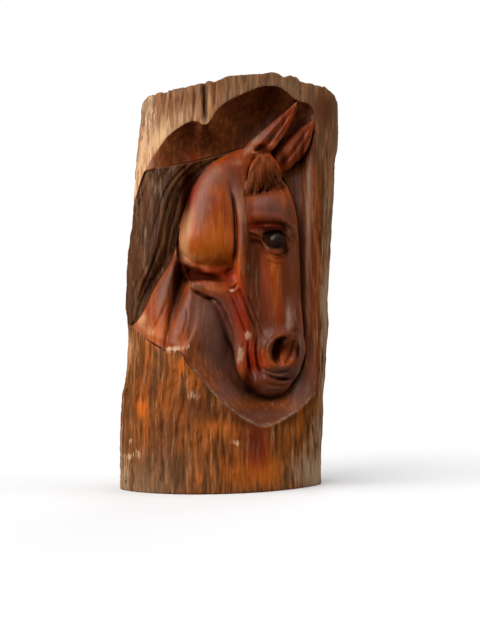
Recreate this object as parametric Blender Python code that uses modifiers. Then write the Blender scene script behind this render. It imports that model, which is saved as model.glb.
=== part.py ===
"""A horse's head and neck carved in relief in the face of a standing half log.

The log section stands on its sawn foot. Its bark face bulges to the front, its
back is sawn flat, and it leans a little to the right. A deep niche is scooped
out of the bark face, and the head looks out of it, turned to the right.

Metres, +Z up, the relief faces -Y. The carving is laid out on a board in front
of the log, as a carver chalks it: at() carries a point of the board along its
line of sight to a depth in millimetres behind the front of the log.
"""

import math

import bmesh
import bpy
import numpy as np

# The log
FRONT = -0.0575  # the bark face's most forward line
EDGE = 0.0075  # where the bark face meets the sides
BACK = 0.0575  # the sawn back
HALF_WIDTH = 0.125
BOW = EDGE - FRONT
BARK_RADIUS = (HALF_WIDTH**2 + BOW**2) / (2 * BOW)
SIDE_TAPER = 0.005  # how much narrower the back is on each side
BACK_ROUND = 0.012
TOP_FALL = 0.10  # the rough top falls this much for each metre backwards

# The board: 480 wide, 640 high, seen from a low standpoint in front of the foot
SIGHT = 690.0
EYE = np.array([0.0095, EDGE - 0.861, 0.1108])
LOOK_UP = math.radians(6.2)
BOARD_TURN = math.radians(1.4)
AHEAD = np.array([0.0, math.cos(LOOK_UP), math.sin(LOOK_UP)])
LEVEL = np.array([1.0, 0.0, 0.0])
ABOVE = np.cross(LEVEL, AHEAD)
ACROSS = math.cos(BOARD_TURN) * LEVEL - math.sin(BOARD_TURN) * ABOVE
UPWARD = math.cos(BOARD_TURN) * ABOVE + math.sin(BOARD_TURN) * LEVEL

# The niche and the ground of the carving, depths in millimetres below the bark
NICHE_DEPTH = 46.0
NICHE_DEPTH_RIGHT = 60.0
TOP_WALL = 44.0  # widths of the niche's walls on the board
RIGHT_WALL = 13.0
LOW_WALL = 34.0
NECK_FOOT_STEP = 1.5
NECK_FALL = 17.0
MANE_EDGE = 1.0
MANE_FALL = 23.0
MANE_LOCKS = 6
LOCK_RELIEF = 1.3
RIM_CLEFT = 3.0
FORELOCK_TUFTS = 4

# Making of the surface
COLUMNS, ROWS = 150, 270
GRAIN = 0.0024  # the size of the smallest form kept
FACETS = 9300

# Outlines on the board
LEFT_SIDE = [(116.5, 512), (117, 476), (117.5, 436), (119.5, 396), (124, 367), (125, 338), (123, 302), (125, 256), (129, 226), (132, 188), (135, 148), (139, 112), (143, 95)]
RIGHT_SIDE = [(322, 512), (322, 470), (322, 440), (324, 405), (326, 372), (328.5, 322), (328, 300), (331, 245), (334.5, 195), (335.5, 158), (339, 136), (338, 108), (335.5, 92)]
TOP_SIDE = [(136, 104), (144, 96), (158, 93.5), (180, 88), (204, 81), (226, 76), (248, 74), (272, 71.5), (284, 76), (297, 77), (302, 82), (320, 85), (334, 92), (342, 102)]
NICHE_TOP = [(144, 172), (150, 160), (157, 150), (165, 138.5), (174, 130.5), (185, 123.5), (193, 120.5), (203, 124.5), (208, 123), (213, 114), (222, 105), (236, 97), (250, 91), (266, 85.5), (280, 88), (290, 95), (300, 101.5)]
NICHE_RIGHT = [(300, 101.5), (309, 104), (315, 114), (316, 140), (317.5, 200), (318, 260), (318, 320), (320, 368)]
NICHE_LOW = [(320, 368), (318, 388), (308, 402.5), (292, 415.5), (275, 425), (262, 427.5), (250, 423), (234, 412), (217, 398), (202, 381), (190, 366), (183, 356)]
NECK_FOOT = [(183, 356), (178, 351), (168, 352), (156, 346), (144, 338), (132, 326)]
OPEN_LEFT = [(132, 326), (126, 318), (118, 300), (118, 250), (124, 224), (131, 212), (135, 198), (144, 172)]
MANE_TOP = [(144, 172), (162, 167), (186, 163), (210, 157.5), (241, 148.5)]
MANE_BACK = [(241, 148.5), (219, 162), (201, 178), (188, 203), (179, 233), (171, 261), (157, 283), (147, 304), (137, 321), (132, 326)]
NECK_BACK = [(183, 268), (192, 291), (197, 312), (196, 327), (190, 340), (183, 354)]
THROAT = [(186, 266, 8.0), (182, 282, 7.0), (177, 298, 5.0), (172, 316, 3.4), (168, 334, 2.2), (166, 348, 1.2)]


def at(u, v, depth):
    u, v, depth = (np.asarray(value, float) for value in (u, v, depth))
    ray = AHEAD + ((u - 240) / SIGHT)[..., None] * ACROSS - ((v - 320) / SIGHT)[..., None] * UPWARD
    reach = (FRONT + depth * 1e-3 - EYE[1]) / ray[..., 1]
    return EYE + ray * reach[..., None]


def ease(low, high, value):
    t = np.clip((value - low) / (high - low), 0, 1)
    return t * t * (3 - 2 * t)


def drawn(points, steps=5):
    """A smooth line through the points. Further columns, such as a width, run along with it."""
    p = np.array(points, float)
    p = np.vstack([2 * p[0] - p[1], p, 2 * p[-1] - p[-2]])
    line = []
    for a, b, c, d in zip(p[:-3], p[1:-2], p[2:-1], p[3:]):
        for t in np.arange(steps) / steps:
            line.append(0.5 * (2 * b + (c - a) * t + (2 * a - 5 * b + 4 * c - d) * t**2 + (3 * b - a - 3 * c + d) * t**3))
    return np.array(line + [p[-2]])


def distance(line, u, v):
    """Distance on the board to a line, and the line's third column at the nearest point."""
    near = np.full(u.shape, 1e9)
    carried = np.zeros(u.shape)
    width = line.shape[1] > 2
    for a, b in zip(line[:-1], line[1:]):
        du, dv = b[:2] - a[:2]
        t = np.clip(((u - a[0]) * du + (v - a[1]) * dv) / (du * du + dv * dv), 0, 1)
        d = np.hypot(u - a[0] - t * du, v - a[1] - t * dv)
        if width:
            carried = np.where(d < near, a[2] + t * (b[2] - a[2]), carried)
        near = np.minimum(near, d)
    return near, carried


def within(outline, u, v):
    found = np.zeros(u.shape, bool)
    for (u0, v0), (u1, v1) in zip(outline, np.roll(outline, -1, axis=0)):
        if v0 != v1:
            found ^= ((v0 > v) != (v1 > v)) & (u < (u1 - u0) * (v - v0) / (v1 - v0) + u0)
    return found


def side_at(line, v):
    rows = drawn(line)
    order = np.argsort(rows[:, 1])
    return np.interp(v, rows[order, 1], rows[order, 0])


def bark_depth(share):
    """Depth of the bark face in millimetres, with share running from -1 to 1 across it."""
    x = np.clip(share, -1, 1) * HALF_WIDTH
    return (BARK_RADIUS - np.sqrt(BARK_RADIUS**2 - x**2)) * 1e3


def wall(near, width, power):
    return 1 - (1 - np.clip(near / width, 0, 1)) ** power


def carved_depth(u, v, share):
    """How deep the ground of the carving lies below the bark, in millimetres."""
    bark = bark_depth(share)
    top, _ = distance(drawn(NICHE_TOP), u, v)
    right, _ = distance(drawn(NICHE_RIGHT), u, v)
    low, _ = distance(drawn(NICHE_LOW), u, v)
    rise = np.minimum(np.minimum(wall(top, TOP_WALL, 2.0), wall(right, RIGHT_WALL, 1.9)), wall(low, LOW_WALL, 1.7))
    floor = NICHE_DEPTH + (NICHE_DEPTH_RIGHT - NICHE_DEPTH) * ease(268, 316, u)
    depth = np.maximum(floor - bark, 0) * rise
    # The throat rises out of the niche to the neck
    from_neck, _ = distance(drawn(NECK_BACK), u, v)
    throat = 0.16 + 0.84 * wall(from_neck, 36.0, 1.6)
    depth = depth * (1 - ease(262, 300, v) * (1 - throat))
    # The neck: two muscles with the throat's furrow between them
    neck = np.vstack([drawn(MANE_BACK)[22:], drawn(NECK_FOOT)[::-1], drawn(NECK_BACK)[::-1], [[178, 256]]])
    foot, _ = distance(drawn(NECK_FOOT), u, v)
    furrow, width = distance(drawn(THROAT), u, v)
    muscle = NECK_FOOT_STEP + NECK_FALL * ease(0, 86, foot)
    muscle = muscle + (3 + 9 * ease(1, 7, width)) * np.exp(-((furrow / (width * 0.8 + 0.6)) ** 2))
    depth = np.where(within(neck, u, v), muscle, depth)
    # The mane: locks that fall to the left and run together at the tip
    back = side_at(MANE_BACK, v)
    front = side_at(OPEN_LEFT, v)
    across = np.clip((u - front) / np.maximum(back - front, 1), 0, 1)
    mane = MANE_EDGE + MANE_FALL * (0.3 * ease(0, 0.5, across) + 0.7 * ease(0.45, 1, across))
    mane = mane + LOCK_RELIEF * np.cos(2 * math.pi * (MANE_LOCKS * across + v / 95))
    mane = mane * (0.35 + 0.65 * ease(326, 290, v))
    mane_outline = np.vstack([drawn(MANE_TOP), drawn(MANE_BACK)[1:], drawn(OPEN_LEFT)])
    in_mane = within(mane_outline, u, v)
    depth = np.where(in_mane, mane, depth)
    opening = np.vstack([drawn(line)[:-1] for line in (NICHE_TOP, NICHE_RIGHT, NICHE_LOW, NECK_FOOT, OPEN_LEFT)])
    depth = np.where(within(opening, u, v) | in_mane, depth, 0)
    # Above the niche the top rim is split by a cleft, and below it the face is hewn
    cleft, _ = distance(np.array([(203.0, 78.0), (206.0, 100.0), (207.0, 122.0)]), u, v)
    depth = depth + np.where(v < 124, RIM_CLEFT * np.exp(-((cleft / 3.5) ** 2)), 0)
    hewn = np.sin(u * 0.31 + np.sin(v * 0.045) * 1.7) * np.sin(v * 0.083 + u * 0.05)
    return depth + 0.5 * hewn * ease(352, 400, v) * (depth < 1)


def new_mesh_object(name, mesh, home):
    made = bpy.data.objects.new(name, mesh)
    home.objects.link(made)
    return made


def taken_over(home, name):
    made = bpy.context.object
    made.name = name
    for old in list(made.users_collection):
        old.objects.unlink(made)
    home.objects.link(made)
    return made


def as_mesh(obj, home):
    """The object with its curve and modifiers made into a plain mesh, in its place."""
    bpy.context.view_layer.update()
    graph = bpy.context.evaluated_depsgraph_get()
    mesh = bpy.data.meshes.new_from_object(obj.evaluated_get(graph))
    mesh.transform(obj.matrix_world)
    work = bmesh.new()
    work.from_mesh(mesh)
    bmesh.ops.remove_doubles(work, verts=work.verts, dist=1e-6)
    bmesh.ops.recalc_face_normals(work, faces=work.faces)
    work.to_mesh(mesh)
    work.free()
    name = obj.name
    bpy.data.objects.remove(obj)
    return new_mesh_object(name, mesh, home)


def log_section(home):
    """The half log with its carved ground: a grid laid on the bark face, and its border drawn back to the sawn back."""
    bpy.ops.mesh.primitive_grid_add(x_subdivisions=COLUMNS, y_subdivisions=ROWS, size=2)
    log = taken_over(home, "log_section")
    mesh = log.data
    flat = np.empty(len(mesh.vertices) * 3)
    mesh.vertices.foreach_get("co", flat)
    flat = flat.reshape(-1, 3)
    share, fall = flat[:, 0], (1 - flat[:, 1]) / 2
    top = drawn(TOP_SIDE)
    order = np.argsort(top[:, 0])
    v = 90 + (512 - 90) * fall
    for _ in range(4):
        left, right = side_at(LEFT_SIDE, v), side_at(RIGHT_SIDE, v)
        u = (left + right) / 2 + share * (right - left) / 2
        rim = np.interp(u, top[order, 0], top[order, 1])
        v = rim + (512 - rim) * fall
    points = at(u, v, bark_depth(share) + carved_depth(u, v, share))
    mesh.vertices.foreach_set("co", points.reshape(-1).astype(np.float32))
    work = bmesh.new()
    work.from_mesh(mesh)
    ring = [edge for edge in work.edges if edge.is_boundary]
    for back, inset in ((BACK - BACK_ROUND, 0.0), (BACK + 0.004, BACK_ROUND * 0.55)):
        made = bmesh.ops.extrude_edge_only(work, edges=ring)["geom"]
        ring = [part for part in made if isinstance(part, bmesh.types.BMEdge)]
        for vert in {vert for edge in ring for vert in edge.verts}:
            step = back - vert.co.y
            vert.co.z -= TOP_FALL * step if vert.co.z > 0.3 else 0
            middle = -0.0185 + 0.0728 * vert.co.z
            lean = SIDE_TAPER * step / (BACK - EDGE) + inset
            vert.co.x -= math.copysign(min(lean, abs(vert.co.x - middle)), vert.co.x - middle)
            vert.co.y = back
    bmesh.ops.holes_fill(work, edges=ring)
    bmesh.ops.recalc_face_normals(work, faces=work.faces)
    work.to_mesh(mesh)
    work.free()
    return log


def mass(name, home, centre, radii, lean=0.0):
    """An egg-shaped mass: its centre on the board with its depth, its half sizes in millimetres, and its lean to the right."""
    bpy.ops.mesh.primitive_uv_sphere_add(segments=40, ring_count=24, radius=1)
    made = taken_over(home, name)
    made.location = at(*centre)
    made.scale = [size * 1e-3 for size in radii]
    made.rotation_euler = (0, math.radians(lean), 0)
    return as_mesh(made, home)


def limb(name, home, stations, flat=1.0, ring=False):
    """A rounded form that runs through stations of (u, v, depth, radius in millimetres), flattened in depth."""
    line = drawn(stations + stations[:1] if ring else stations, 4)
    line = line[:-1] if ring else line
    curve = bpy.data.curves.new(name, "CURVE")
    curve.dimensions = "3D"
    curve.bevel_depth = 0.001
    curve.bevel_resolution = 4
    curve.use_fill_caps = True
    spline = curve.splines.new("POLY")
    spline.points.add(len(line) - 1)
    spline.use_cyclic_u = ring
    for point, (u, v, depth, radius) in zip(spline.points, line):
        x, y, z = at(u, v, depth)
        point.co = (x, y / flat, z, 1)
        point.radius = max(radius, 0.4)
    made = bpy.data.objects.new(name, curve)
    home.objects.link(made)
    made.scale = (1, flat, 1)
    caps = []
    if not ring:
        for end, (u, v, depth, radius) in (("start", line[0]), ("end", line[-1])):
            if radius > 1.5:
                caps.append(mass(f"{name}_{end}", home, (u, v, depth), (radius, radius * flat, radius)))
    return [as_mesh(made, home)] + caps


def joined(name, pieces, home):
    work = bmesh.new()
    for piece in pieces:
        work.from_mesh(piece.data)
        bpy.data.objects.remove(piece)
    mesh = bpy.data.meshes.new(name)
    work.to_mesh(mesh)
    work.free()
    return new_mesh_object(name, mesh, home)


def fused(obj, home, size):
    """The overlapping shapes of one mesh made into one skin."""
    remesh = obj.modifiers.new("one_skin", "REMESH")
    remesh.mode = "VOXEL"
    remesh.voxel_size = size
    return as_mesh(obj, home)


def head_masses(home):
    """Cheek, face, jaw, muzzle, ears and forelock, each from its own sizes. The forms overlap and are made one skin afterwards."""
    parts = [
        mass("cheek_corner", home, (222, 246, 38), (23, 28, 25)),
        mass("forehead", home, (267, 205, 36), (27, 20, 24)),
        mass("eyeball", home, (277, 240.5, 28), (10.5, 10.5, 10.5)),
        mass("muzzle", home, (280, 350, 38), (29, 24, 31)),
        mass("upper_lip", home, (281, 367, 36), (23, 20, 14)),
        mass("chin", home, (270, 380.5, 38), (29, 20, 16)),
    ]
    parts += limb("cheek", home, [(242, 157, 37, 9), (235, 168, 36, 16), (227, 182, 36, 22.5), (220, 198, 37, 27.5), (215, 214, 37, 32), (211.5, 229, 37, 35), (210.5, 238, 37, 35.5)], 0.88)
    parts += limb("cheek_to_face", home, [(246, 172, 42, 20), (243, 200, 42, 24), (244, 250, 41, 25), (245, 285, 43, 23), (255, 335, 43, 19)])
    parts += limb("face", home, [(262, 178, 43, 25), (268, 200, 42, 30), (272.5, 228, 41, 33), (275, 300, 43, 32), (278, 350, 43, 29)], 0.68)
    parts += limb("crest", home, [(233, 183, 19, 5.5), (242, 212, 13.5, 5.5), (243, 235, 13, 5.5), (240, 268, 15.5, 5.5), (242, 295, 21, 5), (251, 322, 26, 4)])
    parts += limb("brow", home, [(246, 219, 18, 4.5), (262, 217, 15.5, 5.5), (281, 220, 18, 5.5), (295, 238, 28, 3.5)])
    parts += limb("nose_ridge", home, [(285, 192, 36, 8.5), (294, 225, 35, 9.5), (297, 265, 36, 10), (298, 332, 35, 10)])
    parts += limb("upper_lid", home, [(262, 236, 20, 2.2), (274, 228.5, 16.5, 3), (288.5, 236, 22, 2.5)])
    parts += limb("lower_lid", home, [(262, 238, 20, 2.2), (272, 252, 18, 3), (287, 247, 24, 2.2)])
    parts += limb("jaw", home, [(190, 270, 38, 12), (199, 281, 36, 14.5), (222, 295, 35, 15.5), (232, 310, 35, 15.5), (246, 350, 34, 14.5)], 0.9)
    parts += limb("jaw_plate", home, [(212, 276, 42, 20), (226, 286, 42, 22), (238, 305, 42, 21), (256, 350, 42, 19)])
    parts += limb("lips", home, [(247, 330, 32, 8), (242.5, 345, 31, 9), (242.5, 360, 31, 9.5), (256, 382, 33, 10)])
    parts += limb("nostril_rim", home, [(284, 333.5, 19, 4.4), (273, 338, 16, 4.8), (267, 349, 15, 5), (270, 361, 16, 5), (280, 368, 17, 4.6), (291, 364, 21, 4.4), (297.5, 353, 24, 4.2), (294, 338, 23, 4.2)], ring=True)
    parts += limb("near_ear", home, [(250, 155, 31, 9), (257, 148.5, 27, 11), (265, 142, 24, 12), (276, 131.5, 21, 11), (286, 119.5, 19, 7.5), (297, 103, 17.5, 0.9)], 0.75)
    parts += limb("far_ear", home, [(278, 170, 39, 9), (284, 164, 36, 11), (291, 156.5, 34, 12.5), (300, 144, 32.5, 11), (308, 131, 31, 7), (315.5, 116.5, 31.5, 0.9)], 0.7)
    for lock in range(FORELOCK_TUFTS):
        spread = lock / (FORELOCK_TUFTS - 1)
        tip_u, tip_v = 247 + 38 * spread, 196 - 12 * spread
        root_u = 262 + 7 * spread
        parts += limb(
            f"forelock_{lock}",
            home,
            [
                (root_u, 156 + 3 * spread, 22, 6.5),
                (0.55 * root_u + 0.45 * tip_u, 169, 15 + 3 * spread, 8),
                (0.3 * root_u + 0.7 * tip_u, 0.4 * 169 + 0.6 * tip_v, 17 + 3 * spread, 6),
                (tip_u, tip_v, 20.5 + 3 * spread, 1.5),
            ],
            0.7,
        )
    return parts


def head_hollows(home):
    parts = [mass("nostril", home, (280, 350, 10), (10, 14, 13), 12)]
    parts += [mass("eye_socket", home, (266, 241, 9), (12, 8, 8))]
    parts += limb("mouth", home, [(257, 358, 14, 2), (262, 371, 12, 2.4), (272, 379, 12, 2.6), (284, 380.5, 13, 2.6), (297, 376, 18, 2.2)])
    parts += limb("brow_crease", home, [(246, 227, 13, 2), (262, 226, 12, 2.8), (286, 230, 17, 2.2)])
    parts += limb("near_ear_hollow", home, [(256, 151, 16, 3), (263, 145, 12, 5), (271, 137, 10, 5.5), (280, 126.5, 10, 4), (293, 109, 13, 1.2)])
    parts += limb("far_ear_hollow", home, [(281, 168, 27, 2.4), (288, 160, 23, 3.8), (297, 148, 21, 4), (311, 125, 25, 1.4)])
    parts += limb("under_cheek", home, [(186, 273, 16, 3), (198, 277, 9, 4.5), (214, 278, 8, 4.5), (230, 274, 10, 3.5)])
    return parts


def blank(home):
    """The block that the piece was sawn from: its underside and its back are the piece's own flats."""
    bpy.ops.mesh.primitive_cube_add(size=1)
    made = taken_over(home, "sawn_block")
    made.scale = (0.5, 0.2 + BACK, 0.8)
    made.location = (0, BACK - (0.2 + BACK) / 2, 0.4)
    made = as_mesh(made, home)
    made.hide_render = True
    made.display_type = "WIRE"
    return made


def wood():
    material = bpy.data.materials.new("oiled_wood")
    material.use_nodes = True
    shader = material.node_tree.nodes["Principled BSDF"]
    shader.inputs["Base Color"].default_value = (0.20, 0.058, 0.017, 1)
    shader.inputs["Roughness"].default_value = 0.34
    shader.inputs["Metallic"].default_value = 0.0
    return material


def main():
    for old in list(bpy.data.objects):
        bpy.data.objects.remove(old)
    home = bpy.data.collections.new("horse_head_log_carving")
    cutters = bpy.data.collections.new("cutters")
    for made in (home, cutters):
        bpy.context.scene.collection.children.link(made)

    head = fused(joined("head", head_masses(home), home), home, GRAIN)
    blended = head.modifiers.new("blended", "SMOOTH")
    blended.factor = 0.5
    blended.iterations = 8
    head = as_mesh(head, home)
    carving = fused(joined("carved_log", [log_section(home), head], home), home, GRAIN)
    hollows = fused(joined("hollows", head_hollows(cutters), cutters), cutters, GRAIN * 0.6)
    cut = carving.modifiers.new("hollowed", "BOOLEAN")
    cut.operation = "DIFFERENCE"
    cut.object = hollows
    carving = as_mesh(carving, home)
    bpy.data.objects.remove(hollows)
    carving = fused(carving, home, GRAIN)
    soft = carving.modifiers.new("worn", "SMOOTH")
    soft.factor = 0.5
    soft.iterations = 2
    fewer = carving.modifiers.new("facets", "DECIMATE")
    fewer.ratio = FACETS / (2 * len(carving.data.polygons))
    carving = as_mesh(carving, home)
    sawn = carving.modifiers.new("sawn_flat", "BOOLEAN")
    sawn.operation = "INTERSECT"
    sawn.object = blank(cutters)
    carving.name = "carved_log_horse_head"
    carving.data.name = "carved_log_horse_head"
    carving.data.materials.append(wood())
    carving.data.shade_smooth()


main()
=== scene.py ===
"""The looks of a horse's head carved in relief in a standing half log.

One piece of wood, so one mesh. Its surface is worked out as a field: the log
with its bark, the niche scooped out of it with mane and neck left standing in
its ground, and the head's rounded masses blended over that. Hair lines, folds
and tool marks are engraved last. The carving is laid out on a board, 480 by
640, in front of the log: at() carries a point of the board along its line of
sight to a depth in millimetres behind the front of the log.
"""

import math

import bmesh
import bpy
import numpy as np
from mathutils import Matrix, Vector


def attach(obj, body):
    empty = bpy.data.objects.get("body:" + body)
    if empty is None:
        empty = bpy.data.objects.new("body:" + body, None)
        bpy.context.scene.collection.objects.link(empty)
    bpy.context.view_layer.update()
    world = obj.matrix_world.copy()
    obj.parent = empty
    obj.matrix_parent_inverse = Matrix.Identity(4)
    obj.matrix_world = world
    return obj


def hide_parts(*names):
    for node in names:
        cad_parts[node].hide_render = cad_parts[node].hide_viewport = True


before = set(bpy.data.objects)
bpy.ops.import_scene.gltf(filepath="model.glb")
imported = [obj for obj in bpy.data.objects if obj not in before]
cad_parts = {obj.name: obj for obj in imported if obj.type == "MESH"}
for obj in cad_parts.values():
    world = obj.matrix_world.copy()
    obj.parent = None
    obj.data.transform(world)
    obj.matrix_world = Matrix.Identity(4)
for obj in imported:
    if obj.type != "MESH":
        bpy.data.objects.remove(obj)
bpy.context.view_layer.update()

# ---------------------------------------------------------------- sizes
FRONT, EDGE, BACK = -0.0575, 0.0075, 0.0575
HALF = 0.125
BOW = EDGE - FRONT
BARK_RADIUS = (HALF**2 + BOW**2) / (2 * BOW)
LEAN = 0.0728
SIGHT = 690.0
EYE = np.array([0.0095, EDGE - 0.861, 0.1108])
LOOK_UP, TURN = math.radians(6.2), math.radians(1.4)
AHEAD = np.array([0.0, math.cos(LOOK_UP), math.sin(LOOK_UP)])
LEVEL = np.array([1.0, 0.0, 0.0])
ABOVE = np.cross(LEVEL, AHEAD)
ACROSS = math.cos(TURN) * LEVEL - math.sin(TURN) * ABOVE
UPWARD = math.cos(TURN) * ABOVE + math.sin(TURN) * LEVEL
BIG = 0.05


def at(u, v, depth):
    u, v = np.asarray(u, float), np.asarray(v, float)
    ray = AHEAD + ((u - 240) / SIGHT)[..., None] * ACROSS - ((v - 320) / SIGHT)[..., None] * UPWARD
    reach = (FRONT + np.asarray(depth, float) * 1e-3 - EYE[1]) / ray[..., 1]
    return EYE + ray * reach[..., None]


def on_board(p):
    q = p - EYE
    d = q @ AHEAD
    return 240 + SIGHT * (q @ ACROSS) / d, 320 - SIGHT * (q @ UPWARD) / d


def ease(a, b, x):
    t = np.clip((x - a) / (b - a), 0, 1)
    return t * t * (3 - 2 * t)


def union(a, b, k):
    h = np.clip(0.5 + 0.5 * (b - a) / k, 0, 1)
    return b * (1 - h) + a * h - k * h * (1 - h)


def common(a, b, k):
    return -union(-a, -b, k)


# ---------------------------------------------------------------- noise
def dice(ix, iy, seed):
    h = (ix * 374761393 + iy * 668265263 + seed * 974634777) & 0xFFFFFFFF
    h = ((h ^ (h >> 13)) * 1274126177) & 0xFFFFFFFF
    return ((h ^ (h >> 16)) & 0xFFFFFFFF).astype(np.float32) / np.float32(4294967295.0)


def noise(x, y, seed=0):
    x, y = np.broadcast_arrays(np.asarray(x, np.float32), np.asarray(y, np.float32))
    fx, fy = np.floor(x), np.floor(y)
    ix, iy = fx.astype(np.int64), fy.astype(np.int64)
    tx, ty = x - fx, y - fy
    tx, ty = tx * tx * (3 - 2 * tx), ty * ty * (3 - 2 * ty)
    low = dice(ix, iy, seed) * (1 - tx) + dice(ix + 1, iy, seed) * tx
    high = dice(ix, iy + 1, seed) * (1 - tx) + dice(ix + 1, iy + 1, seed) * tx
    return (low * (1 - ty) + high * ty) * 2 - 1


def layers(x, y, seed=0, count=3, gain=0.5):
    total, share, weight = 0, 0, 1.0
    for i in range(count):
        total = total + weight * noise(x * 2**i + 17.3 * i, y * 2**i + 5.9 * i, seed + 31 * i)
        share += weight
        weight *= gain
    return total / share


# ---------------------------------------------------------------- lines on the board
def drawn(points, steps=5, closed=False):
    p = np.array(points, float)
    if closed:
        q, spans = np.vstack([p[-1], p, p[0], p[1]]), len(p)
    else:
        q, spans = np.vstack([2 * p[0] - p[1], p, 2 * p[-1] - p[-2]]), len(p) - 1
    line = []
    for i in range(spans):
        a, b, c, d = q[i : i + 4]
        for j in range(steps):
            t = j / steps
            line.append(0.5 * (2 * b + (c - a) * t + (2 * a - 5 * b + 4 * c - d) * t * t + (3 * b - a - 3 * c + d) * t**3))
    line.append(p[0] if closed else p[-1])
    return np.array(line)


def nearest(line, u, v):
    """Distance to the line, the share of its length at the nearest point, and the line's further columns there."""
    line = np.asarray(line, float)
    near = np.full(u.shape, 1e9, np.float32)
    share = np.zeros(u.shape, np.float32)
    extra = np.zeros(u.shape, np.float32)
    lengths = np.hypot(*(line[1:, :2] - line[:-1, :2]).T)
    start = np.concatenate([[0], np.cumsum(lengths)])
    for i in range(len(line) - 1):
        a, b = line[i], line[i + 1]
        du, dv = b[:2] - a[:2]
        t = np.clip(((u - a[0]) * du + (v - a[1]) * dv) / (du * du + dv * dv + 1e-12), 0, 1)
        d = np.hypot(u - a[0] - t * du, v - a[1] - t * dv)
        nearer = d < near
        near = np.where(nearer, d, near)
        share = np.where(nearer, (start[i] + t * lengths[i]) / start[-1], share)
        if line.shape[1] > 2:
            extra = np.where(nearer, a[2] + t * (b[2] - a[2]), extra)
    return near, share, extra


def within(outline, u, v):
    found = np.zeros(u.shape, bool)
    outline = np.asarray(outline, float)
    u0, v0 = outline[-1, :2]
    for u1, v1 in outline[:, :2]:
        if v0 != v1:
            found ^= ((v0 > v) != (v1 > v)) & (u < (u1 - u0) * (v - v0) / (v1 - v0) + u0)
        u0, v0 = u1, v1
    return found


def soften(field2d, sigma):
    r = int(3 * sigma + 1)
    k = np.exp(-0.5 * (np.arange(-r, r + 1) / sigma) ** 2)
    k /= k.sum()
    b = np.pad(field2d, ((r, r), (0, 0)), mode="edge")
    a = sum(k[i] * b[i : i + field2d.shape[0]] for i in range(2 * r + 1))
    b = np.pad(a, ((0, 0), (r, r)), mode="edge")
    return sum(k[i] * b[:, i : i + a.shape[1]] for i in range(2 * r + 1)).astype(np.float32)


# ---------------------------------------------------------------- the log's outline
LEFT_SIDE = [(117.5, 490), (117, 476), (117.5, 436), (119.5, 396), (124, 368), (125, 340), (124, 318), (123, 300), (124.5, 270), (125, 252), (129, 228), (131, 204), (133, 172), (135, 148), (137, 128), (139, 112), (140, 100), (140, 90)]
RIGHT_SIDE = [(322.5, 490), (322, 470), (322, 444), (324, 412), (323.5, 396), (326, 372), (327, 350), (329, 322), (328, 303), (330, 265), (332, 228), (334.5, 192), (335.5, 158), (339, 138), (338.5, 120), (338.5, 100), (338.5, 88)]
TOP_SIDE = [(130, 112), (138, 106), (141.5, 101), (145, 98), (150, 95.5), (165, 92), (180, 88), (200, 83.5), (208, 80.5), (214, 81.5), (220, 79.5), (227, 75.5), (240, 74.5), (262, 73.5), (272, 71.5), (278, 73), (283, 76.5), (290, 75), (297, 77), (301, 81.5), (310, 82), (318, 84.5), (326, 87.5), (332, 91.5), (336, 97), (345, 108)]


def side_line(points):
    a = np.array(points, float)
    p = at(a[:, 0], a[:, 1], BOW * 1e3 - 5)
    order = np.argsort(p[:, 2])
    z = np.linspace(-0.01, 0.52, 1060)
    x = np.interp(z, p[order, 2], p[order, 0])
    x = (np.interp(z - 0.004, z, x) + 2 * x + np.interp(z + 0.004, z, x)) / 4
    return z, x


LINE_Z, LEFT_X = side_line(LEFT_SIDE)
_, RIGHT_X = side_line(RIGHT_SIDE)
SMOOTH_LEFT, SMOOTH_RIGHT = (np.convolve(np.pad(line, 30, mode="edge"), np.hanning(63)[1:-1] / np.hanning(63).sum(), mode="valid") for line in (LEFT_X, RIGHT_X))
LEFT_X = LEFT_X + 1e-3 * (0.9 * noise(LINE_Z * 95, 0, 5) + 0.5 * noise(LINE_Z * 260, 3, 6))
RIGHT_X = RIGHT_X + 1e-3 * (2.0 + 0.7 * noise(LINE_Z * 80, 7, 7) + 0.35 * noise(LINE_Z * 230, 9, 8))


def span(z):
    return np.interp(z, LINE_Z, LEFT_X), np.interp(z, LINE_Z, RIGHT_X)


def smooth_span(z):
    return np.interp(z, LINE_Z, SMOOTH_LEFT), np.interp(z, LINE_Z, SMOOTH_RIGHT)


def top_line():
    a = np.array(TOP_SIDE, float)
    depth = np.full(len(a), 20.0)
    for _ in range(12):
        p = at(a[:, 0], a[:, 1], depth)
        left, right = span(p[:, 2])
        x = np.clip(p[:, 0] - (left + right) / 2, -HALF + 1e-4, HALF - 1e-4)
        depth = (BARK_RADIUS - np.sqrt(BARK_RADIUS**2 - x * x)) * 1e3
    x = np.linspace(-0.16, 0.16, 641)
    z = np.interp(x, p[:, 0], p[:, 2])
    return x, (np.interp(x - 0.0015, x, z) + 2 * z + np.interp(x + 0.0015, x, z)) / 4


TOP_X, TOP_Z = top_line()

# ---------------------------------------------------------------- the ground of the carving
RIM_TOP = [(131, 216), (134, 200), (139, 185), (144, 172), (150, 160), (157, 150), (165, 138.5), (174, 130.5), (185, 123.5), (193, 120.5), (199, 121.5), (203, 124.5), (207, 124), (211, 119), (216, 111), (222, 105), (230, 100), (240, 95), (250, 91), (258, 87.5), (266, 85.5), (274, 86), (281, 88), (288, 93), (294, 98.5)]
RIM_RIGHT = [(300, 101.5), (307, 103), (312, 107), (315, 114), (316, 126), (316, 142), (317, 165), (317.5, 200), (318, 230), (318, 262), (317.5, 300), (318, 330), (319.5, 350), (320, 368)]
RIM_LOW = [(319, 384), (315, 394), (309, 401.5), (302, 408), (294, 414), (285, 420), (275, 425), (266, 427.5), (258, 426.5), (250, 423), (241, 418), (232, 411), (224, 404.5), (217, 398), (211, 392), (205, 385), (199, 378), (193, 371), (187, 364), (183, 356)]
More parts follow.
